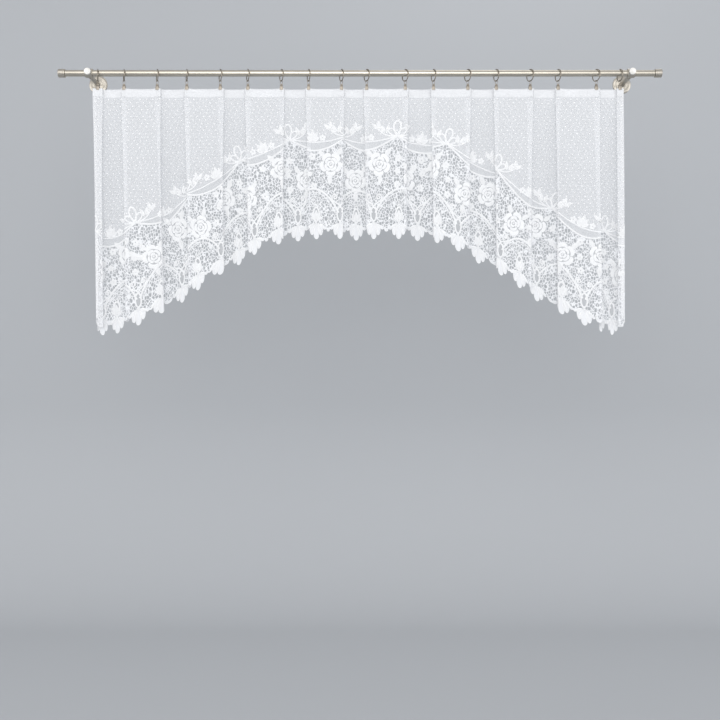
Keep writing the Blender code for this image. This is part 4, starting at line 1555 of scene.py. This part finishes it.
@dataclass
class Border:
    """The scrolled border: swags of cord from knot to knot, loops, sprigs and blossoms."""

    pleats: Pleats
    layout: LaceLayout
    loop_width: float = 0.0135
    loop_height: float = 0.0225

    def swags(self, work: Lacework) -> None:
        """Draws the cord that swings from knot to knot, and a thin one above it."""
        count = int(self.pleats.width / 0.004)
        for line, half in ((self.layout.swag, 0.0026), (self.layout.swag_top, 0.0019)):
            points = []
            for step in range(count + 1):
                u = self.pleats.width * step / count
                points.append((u, float(line(u, self.pleats))))
            work.cord(work.on_hem(points), half, 0.0006)

    def loop(self, work: Lacework, spot: Spot, across: float, up: float, half: float) -> None:
        """Draws one loop of ribbon that stands on the spot."""
        points = []
        for step in range(25):
            angle = math.tau * (step / 24) - math.pi / 2
            pinch = math.sin((step / 24) * math.pi) ** 0.8
            points.append((across * math.cos(angle) * pinch, up * (1 + math.sin(angle))))
        work.cord(spot.put(points), half, 0.0007)

    def knot(self, work: Lacework, spot: Spot) -> None:
        """Draws the bow above a knot: three loops, two curling tails and their leaves."""
        loops = ((0.0, 1.0, 0.0028), (52.0, 0.74, 0.0023), (-52.0, 0.74, 0.0023))
        for turn, size, half in loops:
            foot = Spot(spot.x, spot.y, spot.turn + turn)
            self.loop(work, foot, self.loop_width * size, self.loop_height * size, half)
        for flip in (False, True):
            side = Spot(spot.x, spot.y, spot.turn, flip)
            tail = bend((0.0, 0.000), (0.018, -0.002), (0.040, 0.000), (0.0560, 0.0175), 10)
            curl = swirl((0.0470, 0.0180), 0.0092, 1.3, -4)
            work.cord(side.put(tail + curl[1:]), 0.0020, 0.0006)
            for x, y, turn, length in ((0.034, 0.010, 18, 0.026), (0.040, 0.011, -24, 0.024),
                                       (0.058, 0.020, -52, 0.026), (0.056, 0.024, -6, 0.022)):
                foot = side.put([(x, y)])[0]
                lean = spot.turn + (-turn if flip else turn)
                work.leaf(Spot(foot[0], foot[1], lean), length, 0.0100, Outline.POINTED, 0.0005,
                          edge=0.0008, rib=0.0005)

    def sprig(self, work: Lacework, spot: Spot) -> None:
        """Draws a sprig of five leaves."""
        for angle, length in ((0, 0.034), (30, 0.029), (-30, 0.029), (62, 0.023), (-62, 0.023)):
            work.leaf(Spot(spot.x, spot.y, spot.turn + angle), length, 0.0120,
                      Outline.POINTED, 0.0006, edge=0.0008, rib=0.0006)

    def build(self, cloth: bpy.types.Material, cord: bpy.types.Material) -> bpy.types.Object:
        """Makes the border as one piece."""
        work = Lacework("border_scrolls", self.pleats)
        self.swags(work)
        band = RoseBand(self.pleats, self.layout)
        count = round(self.pleats.width / self.layout.rose_pitch)
        pitch = self.pleats.width / count
        for number in range(count + 1):
            u = min(pitch * number, self.pleats.width)
            slope = math.degrees(self.pleats.slope(u)) * 0.85
            base = work.on_hem([(u, float(self.layout.swag_top(u, self.pleats)))])[0]
            if number % 2 == 0:
                self.knot(work, Spot(*base, slope))
                continue
            self.sprig(work, Spot(base[0], base[1] + 0.005, slope))
            for side in (-1, 1):
                spot = Spot(*base, slope).put([(side * 0.031, 0.014)])[0]
                band.blossom(work, Spot(*spot, slope), 0.0105)
        return work.hang((cloth, cord))


@dataclass
class PinDots:
    """The woven dots of the plain net, in staggered rows."""

    pleats: Pleats
    layout: LaceLayout
    pitch: float = 0.0190
    row_step: float = 0.0104
    shifts: tuple[float, ...] = (0.0, 0.49, 0.84, 0.24)
    radius: float = 0.0027
    flatness: float = 0.30
    margin: float = 0.003
    clear_above: float = 0.016
    tape_foot: float = 0.027

    def build(self, material: bpy.types.Material) -> bpy.types.Object:
        """Makes all the dots as one piece."""
        bm = bmesh.new()
        rows = int((self.pleats.side_drop - self.tape_foot) / self.row_step)
        columns = int(self.pleats.width / self.pitch)
        flat = Matrix.Diagonal((1, 1, self.flatness, 1))
        for row in range(rows):
            drop = self.tape_foot + self.row_step * (row + 0.4)
            for column in range(columns + 1):
                u = self.pitch * (column + self.shifts[row % len(self.shifts)])
                if not self.margin < u < self.pleats.width - self.margin:
                    continue
                height = float(self.pleats.tip_drop(u)) - drop
                if height < float(self.layout.swag_top(u, self.pleats)) + self.clear_above:
                    continue
                matrix = Matrix.Translation((u, -drop, 0.0)) @ flat
                bmesh.ops.create_icosphere(bm, subdivisions=1, radius=self.radius, matrix=matrix)
        return hang_piece("pin_dots", bm, self.pleats, material)


@dataclass
class HeadingTape:
    """The woven tape behind the top edge of the net."""

    pleats: Pleats
    top: float = 0.0015
    foot: float = 0.0240
    behind: float = 0.0013
    step: float = 0.0014

    def build(self, material: bpy.types.Material) -> bpy.types.Object:
        bm = bmesh.new()
        count = int(self.pleats.width / self.step)
        bmesh.ops.create_grid(bm, x_segments=count, y_segments=4, size=0.5)
        for vert in bm.verts:
            share = 0.5 - vert.co.y
            vert.co = ((vert.co.x + 0.5) * self.pleats.width,
                       -mix(self.top, self.foot, share), -self.behind)
        piece = hang_piece("woven_tape", bm, self.pleats, material)
        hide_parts("heading_tape")
        return piece


def lathe(profile: Sequence[Point], steps: int, matrix: Matrix) -> bmesh.types.BMesh:
    """A turned solid.

    Args:
        profile: Points of (radius, height), from one end to the other.
        steps: The number of steps round.
        matrix: Places the local Z axis.

    Returns:
        The mesh under construction.
    """
    bm = bmesh.new()
    verts = [bm.verts.new((radius, 0.0, height)) for radius, height in profile]
    edges = [bm.edges.new(pair) for pair in zip(verts, verts[1:])]
    bmesh.ops.spin(bm, geom=verts + edges, cent=(0, 0, 0), axis=(0, 0, 1), dvec=(0, 0, 0),
                   angle=math.tau, steps=steps, use_merge=True)
    bmesh.ops.remove_doubles(bm, verts=bm.verts, dist=MERGE)
    bmesh.ops.recalc_face_normals(bm, faces=bm.faces[:])
    bm.transform(matrix)
    return bm


def to_mesh(*parts: bmesh.types.BMesh) -> bpy.types.Mesh:
    """One mesh of all these, which are freed."""
    whole = bmesh.new()
    for part in parts:
        mesh = bpy.data.meshes.new("part")
        part.to_mesh(mesh)
        part.free()
        whole.from_mesh(mesh)
        bpy.data.meshes.remove(mesh)
    made = bpy.data.meshes.new("whole")
    whole.to_mesh(made)
    whole.free()
    return smooth(made)


def arc(centre: Point, radius: float, start: float, stop: float, steps: int) -> Path:
    """Points along an arc, angles in degrees."""
    return [(centre[0] + radius * math.cos(math.radians(mix(start, stop, i / steps))),
             centre[1] + radius * math.sin(math.radians(mix(start, stop, i / steps))))
            for i in range(steps + 1)]


@dataclass
class RodSet:
    """The rod with its end caps, brackets and set screws."""

    rod_y: float
    rod_radius: float
    half_length: float
    cap_radius: float = 0.0125
    cap_length: float = 0.020
    cap_groove: float = 0.0044
    bracket_x: float = 0.8065
    arm_drop: float = 0.006
    arm_radius: float = 0.0068
    collar_radius: float = 0.0132
    collar_length: float = 0.022
    plate_radius: float = 0.028
    plate_dome: float = 0.010
    screw_radius: float = 0.010
    screw_head: float = 0.007
    screw_neck: float = 0.0035
    segments: int = 64

    def rod(self) -> bpy.types.Mesh:
        """The rod: a smooth tube with eased ends."""
        ease = 0.0006
        profile = [(0.0, self.half_length), (self.rod_radius - ease, self.half_length),
                   (self.rod_radius, self.half_length - ease),
                   (self.rod_radius, ease - self.half_length),
                   (self.rod_radius - ease, -self.half_length), (0.0, -self.half_length)]
        turn = Matrix.Translation((0, self.rod_y, 0)) @ Matrix.Rotation(math.pi / 2, 4, "Y")
        return to_mesh(lathe(profile, self.segments, turn))

    def cap(self, side: int) -> bpy.types.Mesh:
        """An end cap: a drum with a groove by its mouth and an eased, slightly domed end."""
        radius, length = self.cap_radius, self.cap_length
        profile = [(0.0, length), (radius * 0.6, length - 0.0002)]
        profile += arc((radius - 0.0016, length - 0.0016), 0.0016, 80, 0, 5)
        profile += [(radius, self.cap_groove + 0.0009)]
        profile += arc((radius + 0.0002, self.cap_groove), 0.0009, 100, 260, 6)[1:-1]
        profile += [(radius, self.cap_groove - 0.0009)]
        profile += arc((radius - 0.0006, 0.0006), 0.0006, 0, -90, 3)
        profile += [(self.rod_radius + 0.0004, 0.0), (self.rod_radius - 0.001, 0.0)]
        profile += [(0.0, 0.0)]
        place = Matrix.Translation((side * (self.half_length + SEAT_GAP), self.rod_y, 0))
        return to_mesh(lathe(profile, 48, place @ Matrix.Rotation(side * math.pi / 2, 4, "Y")))

    def bracket(self, side: int) -> bpy.types.Mesh:
        """A bracket: stepped wall plate, arm with a foot, and the collar round the rod."""
        towards_room = Matrix.Translation((side * self.bracket_x, 0, -self.arm_drop))
        towards_room = towards_room @ Matrix.Rotation(math.pi / 2, 4, "X")
        radius, dome = self.plate_radius, self.plate_dome
        reach = -self.rod_y
        plate = [(0.0, dome), (self.arm_radius + 0.004, dome), (radius * 0.52, dome * 0.80)]
        plate += [(radius * 0.66, dome * 0.74), (radius * 0.70, dome * 0.60)]
        plate += [(radius * 0.90, dome * 0.52)]
        plate += arc((radius - 0.0022, 0.0022), 0.0022, 70, 0, 5) + [(radius, 0.0), (0.0, 0.0)]
        arm = [(0.0, reach - self.rod_radius - 0.0008)]
        arm += [(self.arm_radius, reach - self.rod_radius - 0.0008)]
        arm += [(self.arm_radius, dome + 0.006)]
        arm += arc((self.arm_radius + 0.006, dome + 0.006), 0.006, 180, 235, 5)
        arm += [(self.arm_radius + 0.003, dome * 0.6), (0.0, dome * 0.6)]
        bore, wall, half = self.rod_radius + SEAT_GAP, self.collar_radius, self.collar_length / 2
        ease = 0.0008
        collar = [(bore, half), (wall - ease, half), (wall, half - ease), (wall, ease - half),
                  (wall - ease, -half), (bore, -half), (bore, half)]
        along = Matrix.Translation((side * self.bracket_x, self.rod_y, 0))
        return to_mesh(lathe(plate, self.segments, towards_room),
                       lathe(arm, 40, towards_room),
                       lathe(collar, self.segments, along @ Matrix.Rotation(math.pi / 2, 4, "Y")))

    def screw(self, side: int) -> bpy.types.Mesh:
        """A set screw with a round, slightly dished head."""
        radius, neck, top = self.screw_radius, self.screw_neck, self.screw_neck + self.screw_head
        profile = [(0.0, top - 0.0007), (radius * 0.62, top - 0.0005)]
        profile += arc((radius - 0.0022, top - 0.0022), 0.0022, 100, 0, 7)
        profile += arc((radius - 0.0010, neck + 0.0010), 0.0010, 0, -90, 4)
        profile += [(radius * 0.42, neck - 0.0002), (radius * 0.40, 0.0), (0.0, 0.0)]
        front = self.rod_y - self.collar_radius - SEAT_GAP
        place = Matrix.Translation((side * self.bracket_x, front, 0))
        return to_mesh(lathe(profile, 40, place @ Matrix.Rotation(math.pi / 2, 4, "X")))

    def build(self, nickel: bpy.types.Material, plate: bpy.types.Material,
              pale: bpy.types.Material) -> None:
        """Makes the rod, caps, brackets and screws."""
        piece = add_piece("rod_tube", self.rod(), [nickel])
        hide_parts("rod")
        for side, name in ((-1, "left"), (1, "right")):
            piece = add_piece("cap_" + name, self.cap(side), [plate])
            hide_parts("end_cap_" + name)
            piece = add_piece("wall_bracket_" + name, self.bracket(side), [plate])
            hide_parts("bracket_" + name)
            piece = add_piece("screw_" + name, self.screw(side), [pale])
            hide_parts("set_screw_" + name)


@dataclass
class RingSet:
    """The rings on the rod and the clips that hang from them."""

    rod_y: float
    rod_radius: float
    ring_radius: float = 0.0172
    wire: float = 0.0014
    eye_half: float = 0.0034
    eye_wire: float = 0.00075
    eye_foot: float = -0.0338
    eye_foot_half: float = 0.0020
    clip_top: float = -0.0330
    clip_shoulder: float = -0.0425
    clip_foot: float = -0.0502
    leaf_thick: float = 0.0010
    clip_half: float = 0.0050
    neck_half: float = 0.0028
    spread: tuple[float, float] = (-0.0036, 0.0049)

    def ring(self, fold: Fold) -> bpy.types.Mesh:
        """A ring that rests on the rod, turned as it hangs."""
        bm = bmesh.new()
        turn = Matrix.Translation((self.ring_radius, 0, 0)) @ Matrix.Rotation(math.pi / 2, 4, "X")
        bmesh.ops.create_circle(bm, segments=12, radius=self.wire, matrix=turn)
        bmesh.ops.spin(bm, geom=bm.verts[:] + bm.edges[:], cent=(0, 0, 0), axis=(0, 0, 1),
                       dvec=(0, 0, 0), angle=math.tau, steps=56, use_merge=True)
        bmesh.ops.remove_doubles(bm, verts=bm.verts, dist=MERGE)
        bmesh.ops.recalc_face_normals(bm, faces=bm.faces[:])
        drop = self.ring_drop()
        place = Matrix.Translation((fold.x, self.rod_y, -drop))
        place = place @ Matrix.Rotation(math.radians(fold.turn), 4, "Z")
        bm.transform(place @ Matrix.Rotation(math.pi / 2, 4, "Y"))
        return to_mesh(bm)

    def ring_drop(self) -> float:
        """How far a ring's middle hangs below the rod's axis."""
        return self.ring_radius - self.wire - self.rod_radius - SEAT_GAP

    def eye(self) -> bmesh.types.BMesh:
        """The clip's wire eye, round the ring."""
        inner_top = -self.ring_drop() - self.ring_radius + self.wire + SEAT_GAP
        centre = inner_top + self.eye_wire - self.eye_half
        path = arc((0.0, centre), self.eye_half, 0, 180, 10)
        path += [(-self.eye_foot_half, self.eye_foot), (self.eye_foot_half, self.eye_foot)]
        curve = bpy.data.curves.new("eye", "CURVE")
        curve.dimensions = "3D"
        curve.bevel_depth = self.eye_wire
        curve.bevel_resolution = 2
        spline = curve.splines.new("POLY")
        spline.points.add(len(path) - 1)
        for point, (x, z) in zip(spline.points, path):
            point.co = (x, 0.0, z, 1.0)
        spline.use_cyclic_u = True
        bm = bmesh.new()
        bm.from_mesh(curve_mesh(curve))
        return bm

    def leaf(self, side: int) -> bmesh.types.BMesh:
        """One leaf of the clip: a bent plate that widens to its rounded grip."""
        front, back = self.spread
        face = (front - self.leaf_thick / 2) if side < 0 else (back + self.leaf_thick / 2)
        bm = bmesh.new()
        bmesh.ops.create_grid(bm, x_segments=6, y_segments=10, size=0.5)
        for vert in bm.verts:
            share = 0.5 - vert.co.y
            z = mix(self.clip_top + 0.0012, self.clip_foot, share)
            open_share = min((self.clip_top + 0.0012 - z) / (self.clip_top - self.clip_shoulder), 1)
            half = mix(self.neck_half, self.clip_half, min(share * 1.35, 1.0))
            if share > 0.84:
                half *= math.sqrt(max(1.0 - ((share - 0.84) / 0.20) ** 2, 0.1))
            x = vert.co.x * 2 * half
            y = mix(side * 0.0016, face, float(smoothstep(open_share)))
            flute = 0.0006 * (x / self.clip_half) ** 2
            vert.co = (x, y - side * flute, z)
        bmesh.ops.recalc_face_normals(bm, faces=bm.faces[:])
        bmesh.ops.solidify(bm, geom=bm.faces[:], thickness=self.leaf_thick * 0.7)
        return bm

    def clip(self, fold: Fold) -> bpy.types.Mesh:
        """A clip on the top edge, under its ring: two leaves, a spring coil and the eye."""
        coil = lathe([(0.0, 0.0034), (0.0019, 0.0034), (0.0023, 0.0028), (0.0023, -0.0028),
                      (0.0019, -0.0034), (0.0, -0.0034)], 20,
                     Matrix.Translation((0, 0, self.clip_top - 0.0018))
                     @ Matrix.Rotation(math.pi / 2, 4, "Y"))
        mesh = to_mesh(self.leaf(-1), self.leaf(1), coil, self.eye())
        mesh.transform(Matrix.Translation((fold.x, self.rod_y, 0)))
        return mesh

    def build(self, nickel: bpy.types.Material, plated: bpy.types.Material) -> None:
        """Makes every ring and clip, each as its own piece."""
        for number, fold in enumerate(FOLDS, start=1):
            piece = add_piece(f"wire_ring_{number:02d}", self.ring(fold), [nickel])
            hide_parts(f"ring_{number:02d}")
            piece = add_piece(f"spring_clip_{number:02d}", self.clip(fold), [plated])
            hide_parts(f"clip_{number:02d}")


@dataclass
class Studio:
    """The pale sweep, the soft lights and the camera."""

    floor: float = -1.78
    wall_y: float = 1.05
    sweep: float = 0.75
    half_width: float = 6.0
    front: float = -7.0
    wall_top: float = 3.2
    pale: Point3 = (0.47, 0.485, 0.505)
    lens: float = 47.0
    eye: Point3 = (0.0, -2.9, -0.854)
    aim: Point3 = (0.0, -0.1, -0.4)
    lamps: tuple[tuple[str, Point3, float, float, Point3], ...] = (
        ("key", (-1.2, -4.0, 1.1), 3.2, 43.0, (1.0, 0.99, 0.975)),
        ("fill", (1.4, -4.0, 0.2), 3.2, 31.0, (0.99, 0.995, 1.0)),
        ("front", (0.0, -4.8, -0.7), 3.0, 39.0, (1.0, 1.0, 1.0)),
        ("left", (-3.6, -1.5, -0.2), 2.4, 25.0, (1.0, 1.0, 1.0)),
        ("right", (3.6, -1.5, -0.2), 2.4, 25.0, (1.0, 1.0, 1.0)),
    )
    air: Point3 = (0.815, 0.825, 0.845)
    air_strength: float = 0.76

    def backdrop(self) -> None:
        """The floor, which sweeps up into a wall that shows from the room's side only."""
        bm = bmesh.new()
        path = [(self.front, self.floor), (self.wall_y - self.sweep, self.floor)]
        path += arc((self.wall_y - self.sweep, self.floor + self.sweep), self.sweep, -90, 0, 24)
        path += [(self.wall_y, self.wall_top)]
        verts = [bm.verts.new((-self.half_width, y, z)) for y, z in path]
        edges = [bm.edges.new(pair) for pair in zip(verts, verts[1:])]
        grown = bmesh.ops.extrude_edge_only(bm, edges=edges)
        moved = [item for item in grown["geom"] if isinstance(item, bmesh.types.BMVert)]
        bmesh.ops.translate(bm, verts=moved, vec=(2 * self.half_width, 0, 0))
        bmesh.ops.remove_doubles(bm, verts=bm.verts, dist=MERGE)
        for face in bm.faces:
            face.normal_update()
            if face.normal.z - face.normal.y < 0:
                face.normal_flip()
        mesh = bpy.data.meshes.new("sweep")
        bm.to_mesh(mesh)
        bm.free()
        mesh.shade_smooth()
        material, shader = Finish.blank("pale_sweep")
        shader.inputs["Base Color"].default_value = (*self.pale, 1.0)
        shader.inputs["Roughness"].default_value = 0.95
        shader.inputs["Specular IOR Level"].default_value = 0.0
        tree = material.node_tree
        facing = tree.nodes.new("ShaderNodeNewGeometry").outputs["Backfacing"]
        tree.links.new(Finish.maths(tree, "SUBTRACT", 1.0, facing), shader.inputs["Alpha"])
        mesh.materials.append(material)
        stage = bpy.data.objects.new("sweep", mesh)
        bpy.context.scene.collection.objects.link(stage)

    @staticmethod
    def light(name: str, place: Point3, aim: Point3, size: float, power: float,
              colour: Point3 = (1.0, 1.0, 1.0)) -> None:
        """A square soft light aimed at a point."""
        data = bpy.data.lights.new(name, "AREA")
        data.shape = "SQUARE"
        data.size, data.energy, data.color = size, power, colour
        lamp = bpy.data.objects.new(name, data)
        lamp.location = place
        way = Vector(aim) - Vector(place)
        lamp.rotation_euler = way.to_track_quat("-Z", "Y").to_euler()
        bpy.context.scene.collection.objects.link(lamp)

    def build(self) -> None:
        """Sets up the studio."""
        self.backdrop()
        for name, place, size, power, colour in self.lamps:
            self.light(name, place, self.aim, size, power, colour)
        self.light("behind", (0.6, 0.9, 1.6), (0.0, 0.4, -0.9), 1.6, 10.0)
        world = bpy.data.worlds.new("studio")
        world.use_nodes = True
        ground = world.node_tree.nodes["Background"]
        ground.inputs["Color"].default_value = (*self.air, 1.0)
        ground.inputs["Strength"].default_value = self.air_strength
        bpy.context.scene.world = world
        bpy.context.scene.view_settings.view_transform = "Standard"
        camera = bpy.data.cameras.new("camera")
        camera.lens = self.lens
        eye = bpy.data.objects.new("camera", camera)
        eye.location = self.eye
        eye.rotation_euler = (math.pi / 2, 0.0, 0.0)
        bpy.context.scene.collection.objects.link(eye)
        bpy.context.scene.camera = eye


def main() -> None:
    """Builds the curtain's looks, piece by piece."""
    logging.basicConfig(level=logging.INFO, format="%(name)s: %(message)s")
    Studio().build()
    rod_low, rod_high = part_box("rod")
    net_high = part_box("net_curtain")[1]
    rod_y = (rod_low.y + rod_high.y) / 2
    rod_radius = (rod_high.z - rod_low.z) / 2
    pleats = Pleats(rod_y=rod_y, top=net_high.z)
    layout = LaceLayout()
    log.info("flat width %.3f m", pleats.width)

    clothwork = LaceYarn("clothwork", open_share=0.16).make()
    cordwork = LaceYarn("cordwork", colour=(0.985, 0.985, 0.99), pitch=0.0009).make()
    hem_net = LaceYarn("hem_net", open_share=0.66, pitch=0.0019).make()
    tape = LaceYarn("tape_weave", colour=(0.97, 0.975, 0.985), open_share=0.04, pitch=0.0014,
                    relief=0.0002).make()
    net = Net(pleats, layout)
    lace, area = net.build(NetCloth(layout).make())
    parts = net.side_hems(hem_net)
    parts.append(Fans(pleats, layout).build(clothwork, cordwork))
    parts.append(Arcade(pleats, layout).build(clothwork, cordwork))
    parts += RoseBand(pleats, layout).build(clothwork, cordwork)
    parts.append(Border(pleats, layout).build(clothwork, cordwork))
    parts.append(PinDots(pleats, layout).build(cordwork))
    HeadingTape(pleats).build(tape)

    nickel = Nickel("rod_nickel", (0.60, 0.555, 0.475), 0.28).make()
    plated = Nickel("plated_nickel", (0.56, 0.52, 0.455), 0.33, grain=(900, 900, 60)).make()
    wire = Nickel("wire_nickel", (0.31, 0.275, 0.23), 0.32, grain=(500, 500, 500)).make()
    grip = Nickel("grip_nickel", (0.37, 0.33, 0.28), 0.46, grain=(900, 900, 60)).make()
    pale = Nickel("pale_nickel", (0.84, 0.82, 0.78), 0.42, 0.35, (700, 60, 700)).make()
    RodSet(rod_y, rod_radius, rod_high.x).build(nickel, plated, pale)
    RingSet(rod_y, rod_radius).build(wire, grip)


if __name__ == "__main__":
    main()
